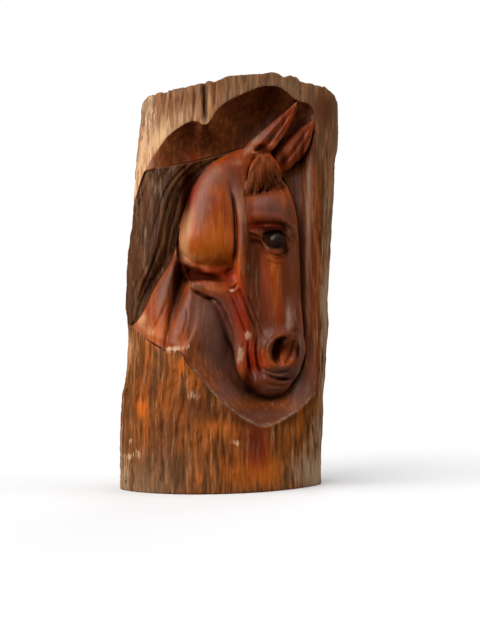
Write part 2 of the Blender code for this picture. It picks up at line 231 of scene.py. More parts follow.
NECK_FOOT = [(183, 356), (179, 351), (172, 352), (165, 351), (158, 347.5), (151, 343), (144, 338), (138, 332), (132, 326)]
OFF_LEFT = [(127, 318), (112, 300), (112, 250), (118, 225)]
MANE_TOP = [(144, 172), (152, 169.5), (162, 167), (174, 165), (186, 163), (198, 160.5), (210, 157.5), (222, 154), (232, 151), (241, 148.5)]
MANE_BACK = [(241, 148.5), (230, 155), (219, 162), (209, 170), (201, 178), (194, 190), (188, 203), (183, 218), (179, 233), (176.5, 246), (171, 261), (164, 272), (157, 283), (151, 294), (147, 304), (142, 314), (137, 321), (132, 326)]
NECK_BACK = [(183, 268), (187, 281), (192, 293), (196, 305), (197.5, 317), (195, 328), (191, 338), (186, 346), (182, 354)]
THROAT = [(188, 262, 8.5), (183, 280, 7.5), (177.5, 298, 5.5), (173, 313, 3.8), (169.5, 328, 2.6), (167, 340, 1.8), (166, 348, 1.1)]
MUSCLE = [(174, 268), (166, 288), (158, 310), (151, 328)]
SECOND = [(192, 288), (189, 305), (184, 325), (178, 342)]
CLEFTS = [  # grain splits in the rim: points, width on the board, depth in mm
    ([(204, 76), (205, 92), (205.5, 108), (206.5, 123)], 2.2, 4.6),
    ([(210, 80), (210.5, 96), (210.5, 112)], 2.2, -1.8),
    ([(199.5, 82), (200.5, 98), (201, 118)], 1.8, -1.3),
    ([(194, 80), (195, 96), (194, 112), (194.5, 121)], 1.4, 2.2),
    ([(216, 80), (215.5, 96), (214, 108)], 1.4, 1.8),
    ([(171, 88), (170, 104), (166, 126)], 1.0, 0.9),
    ([(184, 86), (183, 100), (180, 117)], 0.9, 0.8),
    ([(157, 92), (154, 112), (150, 138)], 1.1, 0.9),
    ([(228, 74), (230, 86), (229, 97)], 1.1, 1.2),
    ([(244, 73), (246, 84)], 0.9, 0.9),
    ([(262, 72), (263, 84)], 1.0, 1.0),
    ([(285, 74), (287, 84), (288, 90)], 1.1, 1.3),
    ([(299, 76), (300, 88), (301, 98)], 1.2, 1.5),
    ([(322, 84), (324, 110), (325, 150)], 1.2, 0.9),
]
CELLS = 3
U0, U1, V0, V1 = 100, 352, 60, 512


def bark_depth(u, v):
    depth = np.full(u.shape, 15.0)
    for _ in range(7):
        p = at(u, v, depth)
        left, right = smooth_span(p[..., 2])
        share = np.clip((p[..., 0] - (left + right) / 2) / ((right - left) / 2), -1, 1)
        depth = (BARK_RADIUS - np.sqrt(BARK_RADIUS**2 - (share * HALF) ** 2)) * 1e3
    return depth, p, share


def rise(near, width, power):
    return 1 - (1 - np.clip(near / width, 0, 1)) ** power


def groove(total, u, v, points, width, depth, steps=4, taper=True):
    """Adds a line of this depth in mm to the engraving, a ridge where the depth is below zero."""
    line = drawn(points, steps)
    reach = 3.2 * width
    i0 = np.searchsorted(u[0], line[:, 0].min() - reach)
    i1 = np.searchsorted(u[0], line[:, 0].max() + reach)
    j0 = np.searchsorted(v[:, 0], line[:, 1].min() - reach)
    j1 = np.searchsorted(v[:, 0], line[:, 1].max() + reach)
    if i1 <= i0 or j1 <= j0:
        return
    near, share, _ = nearest(line, u[j0:j1, i0:i1], v[j0:j1, i0:i1])
    ends = np.clip(np.minimum(share, 1 - share) * 5, 0, 1) if taper else 1.0
    total[j0:j1, i0:i1] += depth * np.exp(-((near / width) ** 2)) * (0.25 + 0.75 * ends)


def carve():
    u, v = np.meshgrid(np.arange(U0, U1 + 1e-6, 1 / CELLS), np.arange(V0, V1 + 1e-6, 1 / CELLS))
    u, v = u.astype(np.float32), v.astype(np.float32)
    bark, p, share = bark_depth(u, v)
    x, z = p[..., 0], p[..., 2]
    across = BARK_RADIUS * np.arcsin(np.clip(share * HALF / BARK_RADIUS, -1, 1)) * 1e3
    along = z * 1e3
    m = {"u": u, "v": v, "bark": bark, "across": across.astype(np.float32), "along": along.astype(np.float32)}

    top = nearest(RIM_TOP[3:] + [RIM_RIGHT[0]], u, v)[0]
    right = nearest(RIM_RIGHT, u, v)[0]
    low = nearest([RIM_RIGHT[-1]] + RIM_LOW, u, v)[0]
    floor = 46 + 6 * ease(180, 260, u) - 4 * ease(285, 305, u) - 12 * np.exp(-(((u - 214) / 24) ** 2) - ((v - 335) / 48) ** 2)
    wall = 0.78 * rise(right, 17, 1.25) + 0.22 * rise(right, 26, 1.5)
    steep = union(union(rise(top, 44, 2.0), wall, 0.06), 0.72 * rise(low, 26, 1.35) + 0.28 * rise(low, 60, 1.3), 0.16)
    steep = np.maximum(steep, 0) * ease(0, 1.2, np.minimum(np.minimum(top, right), low))
    steep = soften(steep.astype(np.float32), 0.8 * CELLS)
    even = ease(4, 15, low) * ease(365, 392, v)
    steep = steep * (1 - even) + soften(steep.astype(np.float32), 5.5 * CELLS) * even
    scoop = np.maximum(floor - bark, 0) * steep

    # mane
    rows = np.array(MANE_BACK, float)
    back = np.interp(v, rows[:, 1], rows[:, 0])
    front = np.interp(v, [140, 172, 216, 250, 300, 326], [156, 144, 131, 125, 123.5, 129])
    s = np.clip((u - front) / np.maximum(back - front, 1), 0, 1)
    mane = 1 + 7 * ease(0, 0.5, s) + 17 * ease(0.42, 1.0, s)
    warp = 0.55 * noise(s * 4, v / 45, 41) + 0.22 * noise(s * 10, v / 24, 42)
    lock = np.abs(np.sin(math.pi * (s * 5.2 + v / 150 + warp)))
    hair = np.abs(np.sin(math.pi * (s * 21 + v / 75 + 2.0 * warp + 0.5 * noise(s * 14, v / 30, 44))))
    fine = np.abs(np.sin(math.pi * (s * 33 - v / 110 + 2.6 * warp)))
    swell = noise(s * 6 + 3, v / 36, 45)
    cut = 2.3 * (1 - lock**0.8) * (0.65 + 0.5 * noise(s * 5, v / 26, 47)) + (1.0 + 0.8 * noise(s * 9, v / 18, 43)) * (1 - hair**0.9) + (0.5 + 0.5 * noise(s * 16, v / 12, 48)) * (1 - fine) + 1.1 * swell
    mane = (mane + cut) * (0.3 + 0.7 * ease(326, 285, v)) + 1.2
    in_mane = within(MANE_TOP + MANE_BACK[1:] + [(112, 326), (112, 225), (131, 216)], u, v)

    # throat and neck
    from_neck = nearest(drawn(NECK_BACK, 4), u, v)[0]
    shallow = 0.14 + 0.86 * rise(from_neck, 40, 1.5)
    scoop = scoop * (1 - ease(258, 296, v) * (u > 150) * (1 - shallow))
    outline = MANE_BACK[9:] + NECK_FOOT[::-1][1:] + NECK_BACK[::-1] + [(178, 256)]
    in_neck = within(outline, u, v)
    foot = nearest(NECK_FOOT + [(188, 350)], u, v)[0]
    furrow, _, width = nearest(drawn(THROAT, 5), u, v)
    width = np.maximum(width, 1.0)
    neck = 0.9 + 17 * ease(0, 84, foot) + 0.7 * ease(0, 5, foot)
    neck = neck + (3.0 + 12.5 * ease(1.0, 7.5, width)) * np.exp(-((furrow / (width * 0.85 + 0.8)) ** 2))
    neck = neck - 3.4 * np.exp(-((nearest(MUSCLE, u, v)[0] / 7.5) ** 2)) * ease(0, 26, foot)
    neck = neck - 2.6 * np.exp(-((nearest(SECOND, u, v)[0] / 6.0) ** 2)) * ease(0, 20, foot)
    neck = neck + 5 * np.exp(-nearest(MANE_BACK[9:], u, v)[0] / 2.6) * ease(0, 14, foot)
    away = np.where(in_neck, 0, from_neck)
    neck_far = 0.9 + 17 * ease(0, 84, foot) + 0.055 * away**1.6
    turn = ease(0, 24, away) * (u > 178) + (u <= 178)
    ground = np.where(in_neck, neck, neck_far * (1 - turn) + scoop * turn)
    ground = soften(ground.astype(np.float32), 0.7 * CELLS)
    ground = np.where(in_mane, mane, ground)
    opening = RIM_TOP + RIM_RIGHT + RIM_LOW + NECK_FOOT[1:] + OFF_LEFT
    inside = within(opening, u, v) | in_mane
    ground = np.where(inside, ground, -6.0)
    m["ground"] = ground.astype(np.float32)
    m["floor"] = soften(bark + ground, 0.45 * CELLS)
    m["in_mane"] = soften(in_mane.astype(np.float32), 0.6 * CELLS)
    m["in_neck"] = soften(in_neck.astype(np.float32), 1.2 * CELLS)
    m["carved"] = soften(inside.astype(np.float32), 0.5 * CELLS)
    m["hair_s"] = s.astype(np.float32)

    # the bark face: fibres, furrows and adze chips, rougher low on the left, split along the rim
    rough = 0.42 + 0.58 * ease(338, 372, v) * (1 - 0.72 * ease(232, 275, u))
    rough = np.maximum(rough, 0.85 * (1 - ease(128, 142, u)) * ease(90, 130, v))
    rough = np.maximum(rough, 0.95 * ease(262, 232, u) * ease(452, 478, v))
    rough = np.maximum(rough, 0.80 * ease(150, 100, v))
    bend = 1.1 * noise(across / 26, along / 60, 11)
    fibre = layers(across / 2.6 + bend, along / 60, 12, 3, 0.6)
    furrows = np.clip(1 - np.abs(noise(across / 8 + bend, along / 80, 13)) * 3.2, 0, 1)
    chips = ease(0.12, 0.5, layers(across / 7 + 0.4 * bend, along / 17, 14, 2))
    flakes = ease(0.05, 0.28, noise(across / 4.2 + bend, along / 26, 15))
    relief = rough * (0.45 * fibre + 0.35 * furrows**2 + 0.65 * (chips - 0.4) * ease(0.6, 0.9, rough) + 0.5 * (flakes - 0.5) * ease(0.55, 0.85, rough) + 0.35 * noise(across / 1.9 + bend, along / 9, 17))
    relief = relief - 1.1 * np.exp(-((low / 3.2) ** 2)) + 0.5 * noise(across / 16, along / 11, 16) * rough
    for points, width, depth in CLEFTS:
        groove(relief, u, v, points, width, depth)
    m["relief"] = (relief - 0.25).astype(np.float32)
    m["rough"] = rough.astype(np.float32)
    m["chips"] = (chips * ease(0.6, 0.9, rough)).astype(np.float32)

    # engraved folds and hair
    e = np.zeros(u.shape, np.float32)
    for line, width, depth in ENGRAVED:
        groove(e, u, v, line, width, depth)
    for k in range(13):
        t = k / 12
        tip_u, tip_v = np.interp(t, [0, 0.35, 0.62, 1], [246.5, 257, 268, 285]), np.interp(t, [0, 0.35, 0.62, 1], [196, 193, 186, 184])
        root = (261 + 10 * t, 157 + 3 * t)
        middle = (0.52 * root[0] + 0.48 * tip_u - 3.5 * (1 - t), 0.5 * (root[1] + tip_v) - 1)
        groove(e, u, v, [root, middle, (tip_u, tip_v)], 0.95, 1.5)
    e += 0.10 * layers(u / 5.0, v / 8.0, 71, 2) * m["carved"]
    m["engraved"] = e
    return m


ENGRAVED = [  # points on the board, width there, depth in mm
    ([(187, 281), (195, 291), (206, 297.5), (217, 301.5), (224, 311), (230, 326), (235, 342)], 1.7, 3.2),
    ([(192, 277), (202, 286), (213, 291), (224, 294)], 3.2, -1.6),
    ([(229, 184), (233, 200), (235.5, 220), (235.8, 240), (235, 256), (232, 272)], 1.7, 3.0),
    ([(248.5, 226), (250.5, 238), (250, 255), (248.5, 272), (250, 290)], 2.2, 1.8),
    ([(184, 265), (190, 271), (199, 276), (208, 277), (218, 276), (229, 273), (236, 267)], 3.4, 4.2),
    ([(186, 269), (192, 276), (201, 280)], 4.0, 4.5),
    ([(229, 289), (233, 288), (237, 285)], 1.0, 1.6),
    ([(231, 293), (235, 291), (239, 288)], 1.0, -1.0),
    ([(238, 284), (244, 300), (250, 316), (258, 334)], 1.6, 3.2),
    ([(230, 292), (236, 308), (244, 328), (248, 338)], 1.5, 3.0),
    ([(245, 290), (251, 304), (257, 318), (263, 332)], 1.2, 1.8),
    ([(241, 296), (246, 310), (251, 324)], 1.0, -0.9),
    ([(234, 292), (240, 307), (247, 324)], 1.0, 1.2),
    ([(225, 300), (231, 312), (238, 330)], 1.3, 1.5),
    ([(219, 284), (227, 290), (231, 296)], 1.2, 0.8),
    ([(209, 247), (209.5, 256), (211, 266)], 1.4, 0.45),
    ([(198, 252), (199, 260), (202, 267)], 1.3, 0.3),
    ([(246, 226.5), (255, 225.6), (266, 225.2), (277, 225.5), (285, 227), (290, 231)], 2.6, 4.6),
    ([(250, 241), (256, 241.5), (262, 244)], 1.6, 1.8),
    ([(264, 250), (270, 256.5), (278, 259.5), (286, 257)], 1.1, 1.3),
    ([(262, 254), (269, 261.5), (278, 264.5), (287, 262)], 1.1, 1.0),
    ([(258, 250), (263, 262), (271, 269)], 1.2, 0.6),
    ([(286, 246), (287, 262), (287.5, 285), (287, 305)], 1.8, 0.8),
    ([(264, 268), (266, 290), (268, 312), (270, 328)], 1.8, 0.5),
    ([(279, 266), (281, 290), (281, 315)], 2.0, -0.5),
    ([(257, 338), (256, 352), (258.5, 366), (264, 377)], 1.5, 3.0),
    ([(249, 336), (248, 352), (249.5, 366), (255, 380)], 1.5, 3.0),
    ([(252.5, 340), (252, 356), (255, 372)], 1.0, 0.9),
    ([(262, 344), (261, 356), (264, 368)], 1.2, 0.9),
    ([(243.5, 340), (242.5, 354), (244.5, 368)], 1.1, 1.2),
    ([(240, 345), (239, 355), (240.5, 366)], 1.6, -1.0),
    ([(257, 386), (266, 391), (277, 391), (287, 387)], 1.3, 0.7),
    ([(267, 374.5), (272, 377), (278, 378.8), (285, 379.6), (291, 379)], 1.5, 3.6),
    ([(262, 368), (270, 372), (280, 373.5), (292, 370)], 1.5, 1.9),
    ([(265, 382.5), (273, 385.5), (283, 386), (291, 383)], 1.5, 1.3),
    ([(261, 331), (266, 337), (270, 341)], 1.2, 1.0),
    ([(286, 337), (291, 346), (288, 356), (283, 364)], 1.2, -0.8),
    ([(301, 342), (303, 352), (302, 364), (297, 374)], 1.6, 1.4),
    ([(258, 150), (266, 144), (274, 135)], 2.0, 2.4),
    ([(264, 148), (272, 139), (281, 127), (290, 113.5)], 1.3, 1.8),
    ([(252, 148), (262, 138), (275, 124), (288, 111.5)], 1.0, 0.5),
    ([(268, 151), (277, 142), (285, 130), (291, 118)], 1.0, 0.7),
    ([(283, 166), (292, 154), (300, 142), (307, 131)], 1.5, 2.6),
    ([(290, 169), (299, 158), (306, 144), (311, 131)], 1.4, 1.8),
    ([(279, 161), (288, 149), (297, 138), (306, 128.5)], 1.1, 0.8),
    ([(205, 345), (216, 352), (226, 362)], 3.0, -0.3),
    ([(168, 300), (160, 318), (152, 333)], 1.5, 0.5),
    ([(186, 300), (187, 318), (182, 338)], 1.6, 0.6),
]

# ---------------------------------------------------------------- the head's masses
FORMS = []


def egg(c, r, lean=0.0, k=6.0, cut=False):
    FORMS.append({"egg": True, "c": c, "r": r, "lean": lean, "k": k, "cut": cut})


def limb(stations, flat=1.0, k=4.0, cut=False, closed=False, steps=5):
    FORMS.append({"egg": False, "stations": stations, "flat": flat, "k": k, "cut": cut, "closed": closed, "steps": steps})


# cheek, face and jaw: (across, down, depth, radius), the last two in mm
limb([(241, 156, 37, 9), (233, 168, 36, 18), (223.5, 182, 36, 26), (217, 198, 37, 31), (213, 214, 37, 34.5), (210, 229, 37, 36.5), (209, 239, 37, 37)], 0.86, 10, steps=6)
egg((221, 248, 38), (24, 28, 25), k=10)
limb([(246, 172, 42, 20), (243, 195, 42, 24), (244, 220, 41, 25), (244, 250, 41, 24), (244, 280, 43, 22), (249, 310, 43, 20), (255, 335, 43, 18)], 1, 10)
limb([(261, 178, 48, 25), (266, 200, 44.5, 29), (269.5, 228, 41, 31.5), (270.5, 262, 42, 31.5), (272.5, 300, 43, 31), (276, 330, 43, 30.5), (278, 350, 43, 29)], 0.68, 10)
egg((266, 211, 37.5), (27, 24, 24), k=8)
limb([(233, 180, 22, 6), (238.5, 194, 19, 6.5), (242, 212, 17, 6.8), (243.5, 228, 16.5, 6.6), (242.8, 248, 16.5, 6.2), (241.5, 268, 18.5, 5.8), (242, 286, 22, 5), (246, 304, 24.5, 4.4), (251, 322, 27, 3.6)], 0.8, 4)
limb([(247, 217.5, 21.5, 4), (256, 217, 20.5, 5), (269, 217, 20.5, 5.5), (281, 219.5, 22.5, 5), (290, 227, 26, 4.5), (295, 238, 30, 3)], 1, 4)
limb([(281, 190, 37, 8), (286.5, 204, 36, 8.5), (289.5, 219, 36, 8.5), (291, 240, 35.5, 8.8), (292.5, 268, 36, 8.8), (293.5, 300, 37, 9), (295.5, 330, 36, 9)], 1, 6)
limb([(289, 305, 29, 5), (292, 316, 26.5, 7), (293.5, 327, 25, 7)], 1, 7)
limb([(190, 269, 37, 11), (199, 280, 32, 13.5), (210, 287, 30, 15), (221, 296, 30, 15.5), (231, 311, 32, 15.5), (239, 330, 34, 15), (246, 350, 35, 14)], 0.9, 6)
limb([(212, 276, 43, 19), (226, 286, 43, 21), (238, 305, 43, 20), (248, 328, 43, 19), (256, 350, 43, 18)], 1, 8)
# eye
egg((274, 239.5, 12), (18, 13, 14), k=5, cut=True)
egg((276.2, 241, 29.8), (12.0, 12.8, 12.8), k=0.6)
limb([(259, 235, 20.5, 1.5), (265, 231.5, 18.3, 2.4), (272, 229.3, 17.6, 2.9), (280, 229.5, 18.6, 2.9), (287, 233.5, 22, 2.3), (291, 241, 26, 1.5)], 1, 1.5)
limb([(260, 237.5, 20.5, 1.3), (264, 244, 20, 1.5), (270, 250.5, 19.5, 1.8), (278, 253.5, 20.5, 1.9), (286, 250, 24, 1.6), (290, 242, 27, 1.3)], 1, 1.5)
limb([(248, 231.5, 18.5, 1.8), (256, 233, 18, 2.3), (262, 236.5, 19.5, 1.7)], 1, 2.5)
# muzzle
egg((280.5, 350, 38), (29.5, 24, 31), k=8)
egg((258, 358, 42), (17, 18, 22), k=6)
egg((279, 366.5, 37), (25, 20, 15), k=6)
egg((269.5, 381, 40), (25.5, 18, 18.5), k=7)
limb([(295.5, 361, 38, 8), (292, 369.5, 38, 8.5), (286.5, 377.5, 38, 8), (279.5, 384, 38, 7.5)], 1, 6)
limb([(247, 330, 33, 8), (242.5, 345, 32, 8.5), (242.5, 360, 32, 9), (247, 373, 33, 9.5), (256, 382, 34, 9.5)], 1, 5)
egg((285, 350, 13), (15, 9, 18), -17, 3, True)
limb([(287, 334.5, 20, 2.2), (276, 338, 17.5, 3.0), (269, 347, 16.5, 3.8), (270, 358.5, 17.5, 3.0), (277, 367, 19, 2.4), (288, 366, 22, 2.2), (297, 357, 26, 2.0), (298.5, 344, 26, 2.4), (295, 336, 23.5, 2.6)], 1, 4, closed=True)
limb([(293, 340, 27, 3.6), (289.5, 348, 26.5, 4.6), (285, 357, 26, 4.2), (281.5, 364, 25, 2.6)], 1, 3)
limb([(284, 339.5, 16, 2.8), (278.5, 343, 16, 4.6), (275.5, 351, 16, 5.6), (276, 359, 17, 4.8), (279.5, 364, 18, 2.6)], 1, 2, True)
limb([(285, 339, 20, 2.6), (278.5, 343, 21, 4.0), (276, 351, 22, 5.0), (277, 359, 21, 4.0)], 1, 2, True)
limb([(294, 343, 19, 3.0), (293, 350, 20, 3.6), (290, 357, 20, 3.2), (286, 362, 19, 2.2)], 1, 2, True)
# ears
limb([(249, 156, 31, 10), (256, 149.5, 27, 12), (265, 142, 24, 12.5), (276, 131, 21, 11), (285, 119.5, 19, 7.5), (292, 109.5, 18, 3.6), (296.5, 102.5, 17.5, 0.9)], 0.75, 5, steps=6)
limb([(262, 146, 38, 9), (276, 134, 36, 8), (288, 120, 30, 5), (296, 108, 24, 2)], 1, 4)
limb([(256, 151.5, 17, 3.2), (263, 146, 12.5, 5.6), (271, 137.5, 10, 6.2), (280, 126.5, 10, 4.8), (288, 115.5, 12, 3.0), (293.5, 107.5, 14, 1.2)], 1, 2, True, steps=6)
limb([(254, 153, 20, 1.8), (261, 153, 17, 2.6), (268, 150.5, 17, 2.8), (274, 145, 18, 2.5), (281, 136, 19, 1.8), (288, 124, 20, 1.2)], 1, 2, steps=6)
limb([(272, 170, 39, 9), (280, 163, 37, 12.5), (289, 155, 34.5, 14.5), (298.5, 144, 32.5, 12.8), (305.5, 133, 31, 8.4), (309.5, 126.5, 31, 4.4), (312, 121.5, 31.5, 1.3)], 0.66, 4, steps=6)
limb([(279, 167, 27, 2.4), (286, 159, 22.5, 4.4), (295, 147, 20.5, 4.8), (303, 136, 22, 3.6), (309, 127, 25.5, 1.5)], 1, 2, True, steps=6)
limb([(290, 169, 29, 1.8), (297, 160, 26, 2.6), (304, 149, 25, 2.6), (309, 138, 26, 1.8)], 1, 1.5, True, steps=6)
# forelock tufts
limb([(262, 157, 22, 6), (257, 168, 16.5, 8.5), (252.5, 181, 16.5, 6.5), (249, 190, 18, 4), (246.5, 196.5, 20, 1)], 0.7, 3)
limb([(264, 157, 21, 7), (263, 169, 15, 9), (260, 181, 16, 7), (257, 188, 18, 4.5), (254.5, 194.5, 20, 1)], 0.7, 3)
limb([(266, 158, 21, 7), (269, 168, 15.5, 8.5), (269, 178, 17, 6.5), (266.5, 185, 19, 4), (263, 191, 21, 1)], 0.7, 3)
limb([(268, 159, 23, 6), (274, 168, 18, 7), (278, 177, 20, 5.5), (281.5, 182, 22, 3.5), (285, 187, 25, 1)], 0.7, 3)


def prepare():
    for q in FORMS:
        if q["egg"]:
            q["at"] = at(*q["c"])
            q["half"] = [r * 1e-3 for r in q["r"]]
            q["turn"] = math.cos(math.radians(q["lean"])), math.sin(math.radians(q["lean"]))
            reach = max(q["half"]) + 0.002
            low, high = q["at"] - reach, q["at"] + reach
        else:
            line = drawn(q["stations"], q["steps"], q["closed"])
            q["line"] = at(line[:, 0], line[:, 1], line[:, 2])
            q["radius"] = np.maximum(line[:, 3], 0.3) * 1e-3
            reach = q["radius"].max()
            low, high = q["line"].min(0) - reach, q["line"].max(0) + reach
        spare = q["k"] * 1e-3 + 0.004
        q["low"], q["high"] = (low - spare).astype(np.float32), (high + spare).astype(np.float32)
    HEAD_BOX[:] = [np.min([q["low"] for q in FORMS], axis=0), np.max([q["high"] for q in FORMS], axis=0)]


HEAD_BOX = []


def one_form(q, x, y, z):
    if q["egg"]:
        x0, y0, z0 = (np.float32(c) for c in q["at"])
        a, b, c = (np.float32(r) for r in q["half"])
        x, y, z = x - x0, y - y0, z - z0
        if q["turn"][1]:
            cos, sin = (np.float32(n) for n in q["turn"])
            x, z = x * cos - z * sin, x * sin + z * cos
        x, y, z = x / a, y / b, z / c
        k0 = np.sqrt(x * x + y * y + z * z)
        k1 = np.sqrt((x / a) ** 2 + (y / b) ** 2 + (z / c) ** 2) + np.float32(1e-6)
        return k0 * (k0 - 1) / k1
    deep = np.float32(1 / q["flat"])
    y = y * deep
    line = (q["line"] * [1, deep, 1]).astype(np.float32)
    radius = q["radius"].astype(np.float32)
    near = None
    for i in range(len(line) - 1):
        a, w = line[i], line[i + 1] - line[i]
        dx, dy, dz = x - a[0], y - a[1], z - a[2]
        t = np.clip((dx * w[0] + dy * w[1] + dz * w[2]) / (w @ w + np.float32(1e-12)), 0, 1)
        dx -= t * w[0]
        dy -= t * w[1]
        dz -= t * w[2]
        d = np.sqrt(dx * dx + dy * dy + dz * dz) - (radius[i] + t * (radius[i + 1] - radius[i]))
        near = d if near is None else np.minimum(near, d)
    return near * np.float32(0.5 + 0.5 * q["flat"])


def inside_box(x, y, z, low, high):
    return np.flatnonzero((x > low[0]) & (x < high[0]) & (z > low[2]) & (z < high[2]) & (y > low[1]) & (y < high[1]))


def head(p):
    total = np.full(len(p), BIG, np.float32)
    x, y, z = (np.ascontiguousarray(p[:, n], dtype=np.float32) for n in range(3))
    close = inside_box(x, y, z, *HEAD_BOX)
    x, y, z = x[close], y[close], z[close]
    field_ = np.full(len(x), BIG, np.float32)
    for q in FORMS:
        k = np.float32(q["k"] * 1e-3)
        idx = inside_box(x, y, z, q["low"], q["high"])
        if len(idx):
            d = one_form(q, x[idx], y[idx], z[idx])
            field_[idx] = common(field_[idx], -d, k) if q["cut"] else union(field_[idx], d, k)
    total[close] = field_
    return total


# ---------------------------------------------------------------- the whole field
MAPS = {}


def read(name, u, v):
    m = MAPS[name]
    a = np.clip((u - U0) * CELLS, 0, m.shape[1] - 1.001)
    b = np.clip((v - V0) * CELLS, 0, m.shape[0] - 1.001)
    i, j = a.astype(np.int32), b.astype(np.int32)
    a, b = (a - i).astype(np.float32), (b - j).astype(np.float32)
    return (m[j, i] * (1 - a) + m[j, i + 1] * a) * (1 - b) + (m[j + 1, i] * (1 - a) + m[j + 1, i + 1] * a) * b


def make_side_maps():
    """Relief in mm of the two bark sides and of the rough broken top, a cell each half millimetre."""
    y, z = np.meshgrid(np.arange(-70, 70, 0.5), np.arange(-10, 520, 0.5), indexing="ij")
    for name, seed in (("side_l", 101), ("side_r", 131)):
        bend = noise(y / 24, z / 60, seed)
        fibre = layers(y / 3 + bend, z / 60, seed + 1, 3, 0.6)
        furrow = np.clip(1 - np.abs(noise(y / 9 + bend, z / 85, seed + 2)) * 3, 0, 1)
        MAPS[name] = (0.8 * fibre + 1.3 * furrow**2 + 0.5 * noise(y / 11, z / 26, seed + 3) + 0.1).astype(np.float32)
    x, y = np.meshgrid(np.arange(-160, 160, 0.5), np.arange(-70, 70, 0.5), indexing="ij")
    torn = layers(x / 9, y / 7, 151, 4, 0.6) * 1.6 + np.clip(1 - np.abs(noise(x / 13 + noise(x / 30, y / 30, 152), y / 40, 153)) * 4, 0, 1) * 2.2
    rings = np.sin((np.hypot(x - 6, (y - 95) * 1.0)) / 2.1 + 1.5 * noise(x / 40, y / 40, 154)) * 0.12
    MAPS["top"] = (torn + rings).astype(np.float32)


def read_grid(name, a, b, a0, b0):
    m = MAPS[name]
    a = np.clip((a * 1e3 - a0) * 2, 0, m.shape[0] - 1.001)
    b = np.clip((b * 1e3 - b0) * 2, 0, m.shape[1] - 1.001)
    i, j = a.astype(np.int32), b.astype(np.int32)
    a, b = (a - i).astype(np.float32), (b - j).astype(np.float32)
    return (m[i, j] * (1 - a) + m[i + 1, j] * a) * (1 - b) + (m[i, j + 1] * (1 - a) + m[i + 1, j + 1] * a) * b


def log_body(p, u, v):
    x, y, z = p[:, 0], p[:, 1], p[:, 2]
    left, right = smooth_span(z)
    half = (right - left) / 2
    off = x - (left + right) / 2
    rel = read("relief", u, v) * 1e-3 * ease(0.014, -0.004, y)
    front = np.hypot(off / half * HALF, y - (FRONT + BARK_RADIUS)) - BARK_RADIUS + rel
    # the outline's notches fade and wander as they run back along the sides
    fade = ease(EDGE - 0.002, BACK - 0.012, y)
    notched = span(z + 0.012 * fade * noise(y / 0.014, z / 0.035, 61))
    left, right = (edge * (1 - 0.8 * fade) + plain_edge * 0.8 * fade for edge, plain_edge in zip(notched, (left, right)))
    half = (right - left) / 2
    off = x - (left + right) / 2
    wild = np.where(off < 0, read_grid("side_l", y, z, -70, -10), read_grid("side_r", y, z, -70, -10)) * 1e-3
    side = (np.abs(off) - half + 0.10 * np.maximum(y - EDGE, 0)) * 0.98 + wild * ease(-0.012, 0.008, y)
    f = common(front, side, np.where(off > 0, 0.005, 0.009))
    f = common(f, y - BACK + 2.5e-4 + 2.5e-4 * noise(x / 0.045, z / 0.03, 62), 0.0028)
    upper = np.interp(x, TOP_X, TOP_Z) - 0.10 * np.maximum(y + 0.02, 0)
    top = z - upper + read_grid("top", x, y, -160, -70) * 1e-3 * ease(-0.056, -0.030, y)
    f = common(f, top, 0.0022)
    return np.maximum(f, -z)


def field(p):
    u, v = on_board(p)
    u, v = u.astype(np.float32), v.astype(np.float32)
    f = log_body(p, u, v)
    depth = (p[:, 1] - FRONT) * 1e3
    seen = (u > U0) & (u < U1) & (v > V0) & (v < V1)
    ground = np.where(seen & (read("ground", u, v) > -3), (read("floor", u, v) - depth) * 6e-4, -BIG)
    f = common(f, ground, 0.0006)
    f = union(f, head(p), 0.0022)
    return f + read("engraved", u, v) * 0.85e-3 * (p[:, 1] < 0.012)


# ---------------------------------------------------------------- the surface
CORNERS = [(a, b, c) for c in (0, 1) for b in (0, 1) for a in (0, 1)]
EDGES = [(0, 1), (2, 3), (4, 5), (6, 7), (0, 2), (1, 3), (4, 6), (5, 7), (0, 4), (1, 5), (2, 6), (3, 7)]


def steps_between(stops, sizes):
    out = [stops[0]]
    for a, b, size in zip(stops[:-1], stops[1:], sizes):
        n = max(1, round((b - a) / size))
        out += list(a + (b - a) * np.arange(1, n + 1) / n)
    return np.array(out)


